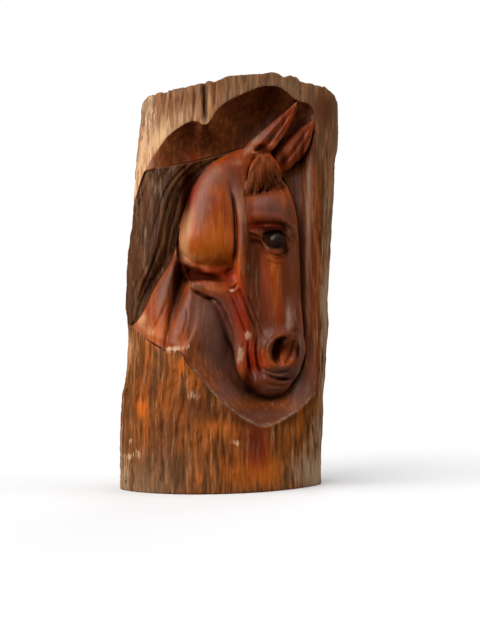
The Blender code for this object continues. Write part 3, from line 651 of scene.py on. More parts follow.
def skin(values, xs, ys, zs):
    """Surface nets: one vertex for each cell that the surface passes, one quad for each grid edge that it cuts."""
    inside = values < 0
    nx, ny, nz = values.shape
    count = np.zeros((nx - 1, ny - 1, nz - 1), np.int8)
    for a, b, c in CORNERS:
        count += inside[a : nx - 1 + a, b : ny - 1 + b, c : nz - 1 + c]
    i, j, k = np.nonzero((count > 0) & (count < 8))
    index = np.full(count.shape, -1, np.int32)
    index[i, j, k] = np.arange(len(i))
    place, weight = np.zeros((len(i), 3)), np.zeros(len(i))
    corner = [values[i + a, j + b, k + c] for a, b, c in CORNERS]
    for a, b in EDGES:
        cut = (corner[a] < 0) != (corner[b] < 0)
        t = np.where(cut, corner[a] / (corner[a] - corner[b] + 1e-20), 0)
        for axis in range(3):
            place[:, axis] += np.where(cut, CORNERS[a][axis] + (CORNERS[b][axis] - CORNERS[a][axis]) * t, 0)
        weight += cut
    place /= weight[:, None]
    for axis, (line, cell) in enumerate(((xs, i), (ys, j), (zs, k))):
        place[:, axis] = line[cell] + (line[cell + 1] - line[cell]) * place[:, axis]
    quads = []
    for axis in range(3):
        cut = [slice(1, -1)] * 3
        lower, upper = list(cut), list(cut)
        lower[axis], upper[axis] = slice(None, -1), slice(1, None)
        a, b = inside[tuple(lower)], inside[tuple(upper)]
        cell = list(np.nonzero(a != b))
        flip = ~a[tuple(cell)]
        others = [n for n in range(3) if n != axis]
        cell = [c + (n != axis) for n, c in enumerate(cell)]
        ring = []
        for da, db in ((-1, -1), (0, -1), (0, 0), (-1, 0)):
            c = list(cell)
            c[others[0]] = c[others[0]] + da
            c[others[1]] = c[others[1]] + db
            ring.append(index[tuple(c)])
        q = np.stack(ring, 1)
        flip = flip ^ (axis == 1)
        q[flip] = q[flip][:, ::-1]
        quads.append(q)
    return place, np.vstack(quads)


def in_batches(p, size=300000):
    return np.concatenate([field(p[i : i + size]) for i in range(0, len(p), size)])


def build_surface():
    g = 1.0
    m = 1e-3 * g
    xs = steps_between([-0.152, -0.080, 0.088, 0.152], [1.25 * m, 0.9 * m, 1.25 * m])
    zs = steps_between([-0.0045, 0.135, 0.455, 0.508], [1.4 * m, 0.95 * m, 1.3 * m])
    ys = steps_between([FRONT - 0.003, 0.010, BACK + 0.009], [1.0 * m, 3.0 * m])
    nx, ny, nz = len(xs), len(ys), len(zs)
    step = 3
    ix, iy, iz = (np.unique(np.r_[np.arange(0, n, step), n - 1]) for n in (nx, ny, nz))
    coarse = np.empty((len(ix), len(iy), len(iz)), np.float32)
    grid = np.stack(np.meshgrid(xs[ix], ys[iy], zs[iz], indexing="ij"), -1).reshape(-1, 3)
    coarse[:] = in_batches(grid).reshape(coarse.shape)
    low, high = coarse[:-1, :-1, :-1].copy(), coarse[:-1, :-1, :-1].copy()
    for a, b, c in CORNERS[1:]:
        part = coarse[a : coarse.shape[0] - 1 + a, b : coarse.shape[1] - 1 + b, c : coarse.shape[2] - 1 + c]
        low, high = np.minimum(low, part), np.maximum(high, part)
    live = (low < 0.0016 * g) & (high > -0.0016 * g)
    wide = live.copy()
    for axis in range(3):
        for shift in (1, -1):
            moved = np.roll(live, shift, axis)
            wide |= moved
        live = wide.copy()
    owner = [np.clip(np.searchsorted(stops, np.arange(n), side="right") - 1, 0, len(stops) - 2) for stops, n in ((ix, nx), (iy, ny), (iz, nz))]
    values = coarse[np.ix_(*[np.clip(o, 0, None) for o in owner])].copy()
    todo = wide[np.ix_(*owner)]
    i, j, k = np.nonzero(todo)
    values[i, j, k] = in_batches(np.stack([xs[i], ys[j], zs[k]], 1))
    print("grid", values.shape, "evaluated", len(i))
    place, quads = skin(values, xs, ys, zs)
    for _ in range(2):
        here = in_batches(place)
        slope = np.empty_like(place)
        for axis in range(3):
            nudge = np.zeros(3)
            nudge[axis] = 2.5e-4
            slope[:, axis] = (in_batches(place + nudge) - here) / 2.5e-4
        move = -(here / ((slope**2).sum(1) + 1e-6))[:, None] * slope
        length = np.linalg.norm(move, axis=1)
        place = place + move * np.minimum(1, 0.55e-3 * g / np.maximum(length, 1e-12))[:, None] * 0.9
    return place, quads


def slope_of(p, span_=4e-4):
    here = in_batches(p)
    slope = np.empty((len(p), 3), np.float32)
    for axis in range(3):
        nudge = np.zeros(3)
        nudge[axis] = span_
        slope[:, axis] = (in_batches(p + nudge) - in_batches(p - nudge)) / (2 * span_)
    return here, slope


MOST_TRIANGLES = 196000


def one_body(place, quads):
    """The largest connected surface only, without stray specks and sealed pockets."""
    root = np.arange(len(place))
    while True:
        low = root[quads].min(axis=1)
        for k in range(4):
            np.minimum.at(root, root[quads[:, k]], low)
            np.minimum.at(root, quads[:, k], low)
        root = root[root]
        ends = root[quads]
        if (ends == ends[:, :1]).all():
            break
    kept = quads[ends[:, 0] == np.bincount(ends[:, 0]).argmax()]
    used = np.unique(kept)
    number = np.zeros(len(place), np.int64)
    number[used] = np.arange(len(used))
    return place[used], number[kept]


def sculpture():
    """The mesh, thinned to its limit plain faces first."""
    MAPS.update(carve())
    make_side_maps()
    prepare()
    place, quads = one_body(*build_surface())
    place[:, 2] = np.where(place[:, 2] < 4e-4, 0.0, place[:, 2])
    mesh = bpy.data.meshes.new("horse_head_relief")
    mesh.vertices.add(len(place))
    mesh.vertices.foreach_set("co", place.astype(np.float32).ravel())
    mesh.loops.add(4 * len(quads))
    mesh.loops.foreach_set("vertex_index", quads.astype(np.int32).ravel())
    mesh.polygons.add(len(quads))
    mesh.polygons.foreach_set("loop_start", np.arange(0, 4 * len(quads), 4, dtype=np.int32))
    mesh.update(calc_edges=True)
    mesh.validate()
    piece = bpy.data.objects.new("horse_head_relief", mesh)
    bpy.context.scene.collection.objects.link(piece)
    before = 2 * len(mesh.polygons)
    bpy.context.view_layer.objects.active = piece
    piece.select_set(True)
    mesh.transform(Matrix.Scale(1000, 4))
    count = before
    while count > MOST_TRIANGLES:
        thin = piece.modifiers.new("thin", "DECIMATE")
        thin.ratio = MOST_TRIANGLES / count - 0.002
        thin.use_collapse_triangulate = True
        bpy.ops.object.modifier_apply(modifier="thin")
        count = sum(len(p.vertices) - 2 for p in piece.data.polygons)
    tidy = bmesh.new()
    tidy.from_mesh(piece.data)
    bmesh.ops.dissolve_degenerate(tidy, dist=0.02, edges=tidy.edges)
    bmesh.ops.triangulate(tidy, faces=[f for f in tidy.faces if len(f.verts) > 3])
    tidy.to_mesh(piece.data)
    tidy.free()
    piece.data.transform(Matrix.Scale(0.001, 4))
    print("triangles", before, "to", count)
    piece.data.shade_smooth()
    return piece


def mark(mesh, name, values):
    layer = mesh.attributes.new(name, "FLOAT", "POINT")
    layer.data.foreach_set("value", np.clip(values, -10, 10).astype(np.float32))


# Stains, wear, painted shade, painted highlights and painted sheen: across, down, half width, half height on the board,
# and strength
AMBER = [(270, 256, 7, 3, 0.55), (272, 268, 6, 8, 0.3), (205, 255, 14, 8, 0.5), (215, 332, 7, 12, 0.3), (158, 320, 14, 16, 0.16), (180, 325, 8, 18, 0.2), (272, 290, 6, 28, 0.2), (176, 100, 12, 10, 0.4), (318, 120, 5, 30, 0.3), (190, 385, 6, 14, 0.4), (150, 360, 8, 16, 0.4), (225, 430, 16, 12, 0.3), (141, 407, 6, 11, 1.1), (181, 366, 3.5, 10, 1.2), (160, 392, 7, 16, 0.45), (215, 425, 22, 10, 0.45), (205, 440, 12, 12, 0.2), (270, 466, 18, 18, 0.45), (200, 475, 20, 18, 0.35), (276, 285, 6, 34, 0.35), (207, 240, 24, 30, 0.75), (165, 325, 12, 14, 0.35), (250, 478, 24, 16, 0.6), (228, 462, 14, 20, 0.4), (285, 350, 8, 10, 0.2), (158, 335, 12, 12, 0.45), (216, 290, 14, 6, 0.65)]
# Deep red: the wood's own red on the jaw bars and bark, and painted shade in red under the brow and cheek and in the
# gap beside the mane
RED_AND_SHADE = [(222, 290, 12, 8, 0.3), (244, 300, 5, 18, 0.3), (262, 322, 8, 10, 0.35), (170, 308, 4, 16, 0.5), (265, 227, 18, 3, 0.3), (265, 226, 20, 4, 0.8), (195, 180, 7, 30, 0.6), (247, 362, 12, 14, 0.5), (210, 272, 26, 5, 0.6), (232, 440, 5, 14, 0.3), (238, 308, 9, 26, 1.0), (250, 330, 10, 26, 0.8), (258, 370, 10, 18, 0.8), (257, 446, 13, 28, 0.75), (228, 276, 8, 8, 0.6), (275, 325, 14, 14, 0.4), (252, 250, 4, 30, 0.5), (288, 122, 6, 12, 0.4), (190, 185, 8, 30, 0.5)]
# Painted shade: darker brown where shade falls, beside the face, under the muzzle and brow, in the niche's corners and
# low on the bark
PAINTED_SHADE = [(290, 225, 6, 34, 0.35), (254, 285, 5, 30, 0.2), (222, 288, 12, 6, 0.2), (150, 390, 12, 12, 0.15), (200, 306, 7, 10, 0.22), (205, 430, 14, 12, 0.18), (180, 400, 12, 10, 0.15), (165, 150, 12, 8, 0.2), (172, 335, 5, 12, 0.35), (176, 300, 6, 24, 0.25), (210, 408, 14, 10, 0.25), (257, 446, 12, 26, 0.40), (262, 172, 12, 10, 0.30), (275, 290, 5, 30, 0.15), (247, 318, 5, 14, 0.2), (200, 300, 9, 14, 0.25), (291, 285, 7, 60, 0.45), (240, 425, 10, 26, 0.25), (233, 316, 5, 20, 0.3), (226, 300, 16, 6, 0.3), (268, 230, 14, 5, 0.35), (268, 300, 7, 26, 0.25), (265, 418, 40, 7, 0.35), (200, 318, 10, 16, 0.35), (255, 262, 6, 20, 0.3), (246, 236, 4, 16, 0.3), (296, 300, 5, 60, 0.45), (256, 300, 6, 36, 0.35), (285, 210, 10, 18, 0.3), (262, 335, 12, 10, 0.5), (300, 350, 6, 22, 0.5), (255, 383, 14, 10, 0.4), (225, 350, 6, 30, 0.3), (310, 110, 24, 24, 0.35), (330, 130, 10, 50, 0.35), (240, 88, 20, 6, 0.2), (260, 210, 40, 8, 0.0), (257, 440, 10, 20, 0.3), (270, 415, 34, 9, 0.25), (200, 180, 8, 10, 0.15), (170, 310, 20, 26, 0.2), (172, 275, 6, 18, 0.5), (160, 290, 6, 14, 0.35), (186, 330, 8, 16, 0.3), (236, 350, 8, 30, 0.25), (200, 410, 10, 16, 0.2), (160, 440, 14, 20, 0.25), (276, 241, 18, 15, 0.8), (290, 290, 9, 50, 0.5), (285, 330, 14, 14, 0.5), (268, 345, 10, 14, 0.6), (264, 318, 10, 22, 0.4), (265, 413, 40, 8, 0.35), (165, 285, 8, 18, 0.4), (182, 300, 10, 26, 0.45), (150, 385, 20, 16, 0.3), (278, 125, 5, 16, 0.4), (299, 143, 6, 18, 0.4), (248, 300, 6, 20, 0.3), (150, 300, 6, 14, 0.2), (268, 384, 30, 14, 0.7), (260, 392, 20, 8, 0.7), (254, 280, 7, 40, 0.75), (292, 285, 8, 50, 0.65), (284, 225, 10, 14, 0.4), (250, 255, 5, 26, 0.4), (280, 388, 26, 10, 0.9), (283, 372, 20, 7, 0.8), (262, 330, 10, 12, 0.3), (230, 452, 16, 30, 0.15), (172, 462, 24, 26, 0.35), (132, 470, 14, 24, 0.2), (190, 402, 18, 18, 0.5), (170, 425, 16, 16, 0.3), (150, 368, 18, 10, 0.25), (290, 440, 14, 20, 0.15), (322, 230, 4, 90, 0.4), (325, 110, 12, 16, 0.3), (243, 228, 6, 40, 0.45)]
# Pale chips of bare wood; on the top-left rim the pale patches are painted highlight
PALE = [(148, 116, 9, 30, 0.62), (143, 146, 5, 16, 0.7), (172, 349, 12, 3.5, 0.75), (186, 347, 8, 4, 0.6), (195, 396, 8, 6, 0.45), (237, 443, 6, 2.4, 1.0), (215, 437, 5, 2, 0.5), (134, 455, 10, 6, 0.5), (124, 470, 8, 26, 0.35), (129, 440, 5, 4, 0.5), (214, 405, 8, 3, 0.35), (240.5, 356, 3.0, 11, 1.3), (248, 336, 3.2, 5, 1.1), (150, 328, 5, 12, 0.3), (232, 290.5, 3, 2, 1.3), (161, 410, 5, 3, 0.35), (140, 350, 6, 10, 0.35)]
# Painted shadow: near black in the nostrils, mouth, ears and clefts, and under the cheek, brow and chin
DEEPEST_SHADE = [(295, 150, 1.8, 12, 0.5), (303, 140, 1.8, 11, 0.45), (285.5, 246, 2.6, 8, 0.6), (276, 230, 11, 1.8, 0.5), (266, 233, 5, 3, 0.4), (252, 241, 5, 4, 0.3), (189, 275, 10, 8, 0.7), (197, 292, 6, 3, 0.6), (208, 298, 7, 2.4, 0.6), (219, 303, 5, 3, 0.5), (226, 316, 3, 10, 0.4), (262, 174, 16, 12, 0.3), (204, 105, 1.4, 18, 0.7), (200, 276, 14, 3.5, 0.5), (219, 281, 12, 3, 0.4), (228, 292, 5, 3, 0.4), (174, 292, 3.5, 20, 0.5), (169, 325, 2.2, 18, 0.5), (283, 119, 2.5, 12, 0.5), (272, 137, 5, 5, 0.3), (178, 262, 6, 12, 0.5), (262, 152, 12, 3, 0.4), (233, 345, 3, 26, 0.4), (193, 180, 7, 10, 0.5), (188, 195, 6, 20, 0.6), (181, 225, 5, 20, 0.4), (257, 356, 2, 16, 0.6), (248.5, 360, 2, 16, 0.5), (286, 345, 8, 6, 0.35), (288, 352, 7, 9, 0.45), (250, 390.5, 6, 4, 0.55), (259, 396, 7, 3.2, 0.5), (252, 385, 8, 8, 0.4), (279, 345.5, 4.2, 7, 1.1), (275, 354, 4.2, 8, 1.2), (298, 350, 2.6, 9, 0.9), (193, 273, 10, 6, 1.1), (210, 277, 14, 4, 0.8), (229, 270, 5, 9, 0.5), (262, 147.5, 9, 4.5, 0.9), (266, 227.5, 20, 2.4, 0.6), (276, 231, 13, 3, 0.6), (263, 240, 4, 6, 0.5), (284, 250, 8, 5, 0.5), (255, 242, 6, 4, 0.4), (283, 379.2, 9, 2.0, 0.9), (269, 399, 8, 2.6, 0.7), (279, 396.5, 6, 2.6, 0.5), (288, 390.5, 5, 3, 0.35), (284, 160, 5, 9, 0.8), (302, 158, 3, 12, 0.6), (302, 240, 3, 60, 0.18), (179, 280, 5, 16, 0.7), (186, 200, 5, 40, 0.4), (183, 270, 5, 7, 0.7), (246, 376, 5, 12, 0.5)]

# Grey: dry grey bark and wood, with painted highlights on the near ear's edge, the mane strands and the top-left rim,
# and painted reflection on the bark's low corners
ASH_AND_SHEEN = [(245, 148, 5, 3, 0.35), (253, 140, 5, 3, 0.4), (261, 132, 5, 3, 0.35), (270, 123.5, 5, 3, 0.3), (279, 115, 5, 3, 0.25), (154, 194, 5, 14, 0.15), (146, 226, 5, 16, 0.08), (147, 118, 9, 34, 0.50), (326, 320, 7, 70, 0.85), (327, 200, 6, 50, 0.25), (312, 430, 7, 26, 0.35), (245, 80, 30, 6, 0.10), (150, 188, 11, 22, -0.25), (140, 235, 8, 26, -0.2), (314, 480, 14, 20, 0.85), (321, 430, 5, 40, 0.6), (123, 480, 10, 22, 0.65), (120, 440, 4, 44, 0.6), (331, 160, 8, 90, 0.12), (168, 468, 16, 20, 0.25), (150, 188, 11, 22, 0.45), (140, 235, 8, 26, 0.3), (300, 470, 14, 16, 0.4), (131, 130, 8, 50, 0.5), (186, 92, 40, 10, 0.35), (150, 108, 14, 22, 0.55), (305, 86, 30, 6, 0.15)]
# Painted sheen: the mauve-grey reflection of the bright ceiling, painted on the forehead, cheek top, bowl, lips, muzzle
# and the near ear's edge
PAINTED_SHEEN = [(246, 147, 5, 4, 0.8), (254, 139.5, 5, 4, 0.8), (262, 131.5, 5, 4, 0.8), (270, 124, 5, 4, 0.7), (283, 371, 15, 4, 0.7), (272, 389.5, 13, 4, 0.8), (301, 345, 2.4, 24, 0.8), (266, 335, 3, 8, 0.4), (300, 300, 3, 50, 0.2), (268, 205, 20, 13, 1.0), (215, 174, 22, 15, 0.75), (202, 200, 12, 22, 0.6), (236, 190, 8, 22, 0.7), (214, 318, 22, 30, 0.9), (222, 355, 20, 26, 0.9), (201, 316, 12, 12, 0.3), (228, 392, 16, 14, 0.7), (265, 416, 34, 8, 0.6), (303, 395, 14, 18, 0.9), (311, 360, 8, 22, 0.5), (291, 318, 6, 14, 0.7), (283, 376, 16, 8, 0.8), (292, 260, 5, 46, 0.4), (190, 300, 6, 14, 0.3), (272, 137, 16, 4, 0.3), (262, 136, 14, 5, 0.6), (310, 230, 6, 60, 0.25), (300, 345, 4, 20, 0.6)]
# Painted highlights: khaki light on lit edges, the cheek's left contour, the crest ridge, the log's left edge and the
# niche's right wall
HIGHLIGHTS = [(205, 257, 18, 8, 0.3), (266, 249, 3, 5, 0.3), (202, 222, 14, 20, 0.30), (210, 105, 2.6, 14, 0.7), (128, 300, 6, 60, 0.16), (243, 215, 2.0, 24, 0.3), (309, 200, 4, 50, 0.3), (155, 180, 14, 10, 0.15), (184, 240, 5, 18, 0.9), (188, 222, 4, 16, 0.7), (193, 207, 4, 12, 0.5), (195, 257, 12, 5, 0.4), (241, 205, 3, 22, 0.45), (244, 250, 2.4, 26, 0.2), (141, 318, 6, 8, 0.8), (150, 331, 10, 6, 0.4), (163, 290, 5, 18, 0.35), (247, 336, 4, 6, 0.8), (307, 250, 4, 80, 0.35), (237, 163, 8, 4, 0.4), (250, 150, 6, 4, 0.5), (122, 330, 5, 60, 0.6), (126, 250, 4, 40, 0.4), (128, 350, 10, 14, 0.5)]

def patches(entries, u, v):
    total = np.zeros(u.shape, np.float32)
    for u0, v0, ru, rv, strength in entries:
        total += strength * np.exp(-(((u - u0) / ru) ** 2) - ((v - v0) / rv) ** 2)
    return total


def record_surface(mesh):
    """Masks that the wood's colour and polish follow, one value a vertex, painted shade, highlights and sheen among
    them.
    """
    p = np.empty(len(mesh.vertices) * 3, np.float32)
    mesh.vertices.foreach_get("co", p)
    p = p.reshape(-1, 3).astype(float)
    normal = np.empty(len(mesh.vertices) * 3, np.float32)
    mesh.vertices.foreach_get("normal", normal)
    normal = normal.reshape(-1, 3)
    u, v = on_board(p)
    u, v = u.astype(np.float32), v.astype(np.float32)
    _, slope = slope_of(p)
    steep = np.maximum(np.linalg.norm(slope, axis=1), 0.25)
    hd = head(p)
    on_head = ease(0.0016, 0.0002, hd) * (p[:, 1] < 0.012)
    front = ease(0.016, 0.004, p[:, 1])
    carved = np.clip(read("carved", u, v), 0, 1) * ease(-0.5, 1.5, (p[:, 1] - FRONT) * 1e3 - read("bark", u, v) + 0.6) * front
    upper = np.interp(p[:, 0], TOP_X, TOP_Z) - 0.10 * np.maximum(p[:, 1] + 0.02, 0)
    on_top = ease(-0.007, -0.004, p[:, 2] - upper) * ease(0.15, 0.5, normal[:, 2])
    front = front * (1 - on_top)
    carved = np.maximum(carved * (1 - on_top), on_head)
    mark(mesh, "head", on_head)
    mark(mesh, "bark", (1 - carved))
    # occlusion measured along the normal, close and wide: it paints shade into the colour of folds and hollows
    near = np.zeros(len(p), np.float32)
    for reach, share in ((0.0012, 0.4), (0.0025, 0.35), (0.005, 0.25)):
        near += share * (1 - np.clip(in_batches(p + normal * reach) / (reach * steep), -1, 1.3))
    mark(mesh, "crease_shade", near)
    wide = np.zeros(len(p), np.float32)
    for reach, share in ((0.009, 0.3), (0.016, 0.35), (0.028, 0.35)):
        wide += share * (1 - np.clip(in_batches(p + normal * reach) / (reach * np.minimum(steep, 1)), -1, 1.2))
    mark(mesh, "hollow_shade", wide)
    sharp = np.zeros(len(p), np.float32)
    for reach, share in ((0.002, 0.5), (0.0045, 0.5)):
        sharp += share * (1 - np.clip(-in_batches(p - normal * reach) / (reach * steep), -1, 1.2))
    mark(mesh, "ridge", sharp)
    mane = np.clip(read("in_mane", u, v), 0, 1) * front * (1 - on_head)
    fore = within(FORELOCK, u, v).astype(np.float32) * on_head
    mark(mesh, "hair", np.maximum(mane, fore))
    mark(mesh, "strand", np.where(fore > mane, (u - 263) / 22, read("hair_s", u, v)))
    mark(mesh, "neck", np.clip(read("in_neck", u, v), 0, 1) * front * (1 - on_head))
    ball = np.linalg.norm((p - at(276.2, 241, 29.8)) / np.array([12.0e-3, 12.8e-3, 12.8e-3]), axis=1)
    mark(mesh, "eye", ease(1.10, 1.04, ball) * ease(12.0, 10.6, np.abs(u - 276.5)))
    # besides stains, the next marks carry painted shade, painted highlights and painted sheen
    mark(mesh, "amber", patches(AMBER, u, v) * front)
    mark(mesh, "red_and_shade", patches(RED_AND_SHADE, u, v) * front)
    mark(mesh, "deep", patches(DEEPEST_SHADE, u, v) * front)
    mark(mesh, "painted_shade", patches(PAINTED_SHADE, u, v) * front)
    mark(mesh, "pale", patches(PALE, u, v) * front)
    # along the bowl's lower rim: a painted sheen band, and a painted highlight line with some wear
    lip = np.exp(-((nearest([RIM_RIGHT[-1]] + RIM_LOW, u, v)[0] / 3.0) ** 2)) * carved
    wear_and_highlight = np.exp(-((nearest(RIM_LOW[1:-2], u, v)[0] / 2.3) ** 2)) * ease(0.1, 0.6, carved)
    mark(mesh, "ash_and_sheen", (patches(ASH_AND_SHEEN, u, v) + 0.7 * wear_and_highlight) * front)
    mark(mesh, "painted_sheen", (patches(PAINTED_SHEEN, u, v) + 0.8 * lip) * front * carved)
    mark(mesh, "highlight", patches(HIGHLIGHTS, u, v) * front)
    mark(mesh, "across", (u - 240) / 100)
    mark(mesh, "down", (v - 300) / 100)
    mark(mesh, "sawn", ease(0.55, 0.9, normal[:, 1]) * ease(BACK - 0.012, BACK - 0.004, p[:, 1]))
    mark(mesh, "torn", np.maximum(on_top, ease(0.45, 0.8, normal[:, 2]) * ease(0.42, 0.45, p[:, 2]) * (1 - carved)))
    # bark along the niche's top rim: bare wood, painted with a highlight that is strongest on the lit left
    mark(mesh, "bare_lit_rim", ease(26, 4, nearest(RIM_TOP, u, v)[0]) * (1 - carved) * front)


FORELOCK = [(258, 152), (249, 172), (243, 197), (252, 197), (264, 191), (276, 185), (287, 188), (280, 168), (270, 157)]


# ---------------------------------------------------------------- the wood
class Wiring:
    def __init__(self, name):
        self.material = bpy.data.materials.new(name)
        self.material.use_nodes = True
        self.tree = self.material.node_tree
        self.shader = self.tree.nodes["Principled BSDF"]

    def new(self, kind, **settings):
        made = self.tree.nodes.new("ShaderNode" + kind)
        for key, value in settings.items():
            setattr(made, key, value)
        return made

    def join(self, source, socket):
        if isinstance(source, (int, float)):
            socket.default_value = source
        elif isinstance(source, tuple):
            socket.default_value = source if len(source) == 4 or socket.type == "VECTOR" else (*source, 1)
        else:
            self.tree.links.new(source, socket)

    def attribute(self, name):
        return self.new("Attribute", attribute_name=name).outputs["Fac"]

    def sum(self, operation, a, b=0.0, c=0.0, clamp=False):
        n = self.new("Math", operation=operation, use_clamp=clamp)
        for source, socket in zip((a, b, c), n.inputs):
            self.join(source, socket)
        return n.outputs[0]

    def plus(self, a, b):
        return self.sum("ADD", a, b)

    def times(self, a, b):
        return self.sum("MULTIPLY", a, b)

    def band(self, value, low, high, bottom=0.0, top=1.0):
        n = self.new("MapRange", interpolation_type="SMOOTHSTEP")
        for source, socket in zip((value, low, high, bottom, top), n.inputs):
            self.join(source, socket)
        return n.outputs[0]

    def blend(self, share, a, b, how="MIX"):
        n = self.new("Mix", data_type="RGBA", blend_type=how, clamp_factor=True)
        self.join(share, n.inputs[0])
        self.join(a, n.inputs[6])
        self.join(b, n.inputs[7])
        return n.outputs[2]

    def speckle(self, where, scale, detail=3.0, rough=0.55, warp=0.0):
        n = self.new("TexNoise")
        self.join(where, n.inputs["Vector"])
        n.inputs["Scale"].default_value = scale
        n.inputs["Detail"].default_value = detail
        n.inputs["Roughness"].default_value = rough
        n.inputs["Distortion"].default_value = warp
        return n.outputs[0]

    def stretched(self, where, x, y, z):
        n = self.new("Mapping")
        self.join(where, n.inputs["Vector"])
        n.inputs["Scale"].default_value = (x, y, z)
        return n.outputs[0]


def wood():
    w = Wiring("oiled_wood")
    place = w.new("TexCoord").outputs["Object"]
    head_, bark, crease_shade, hollow_shade, ridge = (w.attribute(n) for n in ("head", "bark", "crease_shade", "hollow_shade", "ridge"))
    hair, neck, eye, bare_lit_rim, sawn, torn = (w.attribute(n) for n in ("hair", "neck", "eye", "bare_lit_rim", "sawn", "torn"))
    amber, red_and_shade, deep, painted_shade, pale, painted_sheen, highlight, ash_and_sheen, down, across = (w.attribute(n) for n in ("amber", "red_and_shade", "deep", "painted_shade", "pale", "painted_sheen", "highlight", "ash_and_sheen", "down", "across"))

    # grain runs up the log: broad tone, fibres, pores
    broad = w.speckle(w.stretched(place, 1, 1, 0.22), 26, 3, 0.55, 0.6)
    fibre = w.speckle(w.stretched(place, 1, 1, 0.05), 260, 4, 0.62, 0.25)
    pore = w.speckle(w.stretched(place, 1, 1, 0.03), 900, 2, 0.6)
    cloud = w.speckle(place, 30, 3, 0.5)
    streak = w.speckle(w.stretched(place, 1, 1, 0.10), 210, 5, 0.65, 0.4)
    mottle = w.speckle(w.stretched(place, 1, 1, 0.22), 62, 4, 0.6, 0.6)
    fleck = w.speckle(w.stretched(place, 1, 1, 0.28), 340, 3, 0.65, 0.3)

    # shallow facets that the gouge left
    facet = w.speckle(w.stretched(place, 1, 1, 0.6), 105, 2, 0.5, 0.5)

    # polished carving
    colour = w.blend(w.band(broad, 0.36, 0.66), (0.25, 0.031, 0.0025), (0.455, 0.088, 0.007))
    colour = w.blend(w.times(w.band(cloud, 0.48, 0.7), 0.5), colour, (0.30, 0.034, 0.004))
    colour = w.blend(w.times(w.band(fibre, 0.60, 0.38), 0.38), colour, (0.13, 0.014, 0.002))
    # painted shade: the recessed niche is coloured darker than the head and neck that stand in it
    niche_shade = w.times(w.sum("SUBTRACT", 1.0, bark), w.sum("SUBTRACT", 1.0, w.sum("MAXIMUM", head_, neck)))
    colour = w.blend(w.times(niche_shade, 0.80), colour, w.blend(w.band(streak, 0.38, 0.64), (0.115, 0.036, 0.012), (0.30, 0.080, 0.018)))

    colour = w.blend(w.times(neck, 0.45), colour, w.blend(w.band(fibre, 0.4, 0.6), (0.17, 0.030, 0.005), (0.30, 0.058, 0.009)))

    # bark face, with bare streaks and dry grey fibres
    skin_ = w.blend(w.band(streak, 0.36, 0.62), (0.062, 0.020, 0.004), (0.26, 0.066, 0.008))
    skin_ = w.blend(w.times(w.band(mottle, 0.50, 0.66), 0.55), skin_, (0.44, 0.100, 0.007))
    skin_ = w.blend(w.times(w.times(w.band(mottle, 0.50, 0.34), 0.60), w.band(cloud, 0.35, 0.6, 0.5, 1.0)), skin_, (0.078, 0.034, 0.009))
    skin_ = w.blend(w.times(w.band(cloud, 0.52, 0.66), 0.35), skin_, (0.30, 0.082, 0.012))
    coarse = w.band(across, 0.1, -0.4, 0.35, 1.0)
    skin_ = w.blend(w.times(w.times(w.band(fleck, 0.54, 0.72), 0.45), coarse), skin_, (0.24, 0.105, 0.040))
    skin_ = w.blend(w.times(w.times(w.band(fleck, 0.46, 0.32), 0.35), coarse), skin_, (0.045, 0.013, 0.005))
    # greyer bark: weathered grey on the top and the right edge, painted reflection on the low left and right corners
    grey = w.times(w.band(down, -0.9, -1.9), w.band(across, -0.7, 0.6, 0.35, 0.55))
    grey = w.sum("MAXIMUM", grey, w.times(w.band(across, 0.80, 0.92), 0.62))
    grey = w.sum("MAXIMUM", grey, w.times(w.band(down, 1.35, 1.95), w.band(across, -0.4, -1.1, 0.15, 0.8)))
    grey = w.sum("MAXIMUM", grey, w.times(w.band(down, 1.3, 1.9), w.band(across, 0.5, 0.8, 0.0, 0.75)))
    skin_ = w.blend(w.times(grey, w.band(fibre, 0.3, 0.62, 0.5, 1.0)), skin_, (0.22, 0.135, 0.075))
    calm = w.times(w.band(across, -1.0, -1.12), 0.6)
    skin_ = w.blend(calm, skin_, w.blend(w.band(streak, 0.36, 0.62), (0.085, 0.028, 0.007), (0.20, 0.070, 0.016)))
    # sawn back with the saw's marks, torn top
    saw = w.new("TexWave", wave_type="BANDS", bands_direction="Z")
    w.join(w.stretched(place, 1, 1, 1), saw.inputs["Vector"])
    for name, value in (("Scale", 26.0), ("Distortion", 5.0), ("Detail", 3.0), ("Detail Scale", 0.6)):
        saw.inputs[name].default_value = value
    marks = saw.outputs["Fac"]
    cut_wood = w.blend(w.band(fibre, 0.36, 0.64), (0.150, 0.050, 0.017), (0.29, 0.115, 0.042))
    cut_wood = w.blend(w.times(w.band(broad, 0.40, 0.62), 0.45), cut_wood, (0.36, 0.125, 0.035))
    cut_wood = w.blend(w.times(marks, 0.06), cut_wood, (0.10, 0.034, 0.013))
    skin_ = w.blend(sawn, skin_, cut_wood)
    skin_ = w.blend(w.times(torn, 0.7), skin_, w.blend(w.band(cloud, 0.38, 0.62), (0.17, 0.080, 0.040), (0.33, 0.20, 0.125)))
    colour = w.blend(bark, colour, skin_)

    # wear and stains, with painted highlights, painted shade and painted sheen
    # convex edges lighter: wear, and painted highlight where edges catch the light
    wear_and_highlight = w.times(w.band(ridge, 0.30, 0.85), w.band(fibre, 0.35, 0.6, 0.5, 1.0))
    colour = w.blend(w.times(wear_and_highlight, 0.40), colour, (0.60, 0.235, 0.085))
    # pale tan along the top rim: bare wood, and painted highlight fading from the lit left
    colour = w.blend(w.times(w.times(bare_lit_rim, w.band(streak, 0.36, 0.60, 0.30, 1.05)), w.band(across, -1.0, -0.1, 0.95, 0.12)), colour, (0.76, 0.46, 0.235))
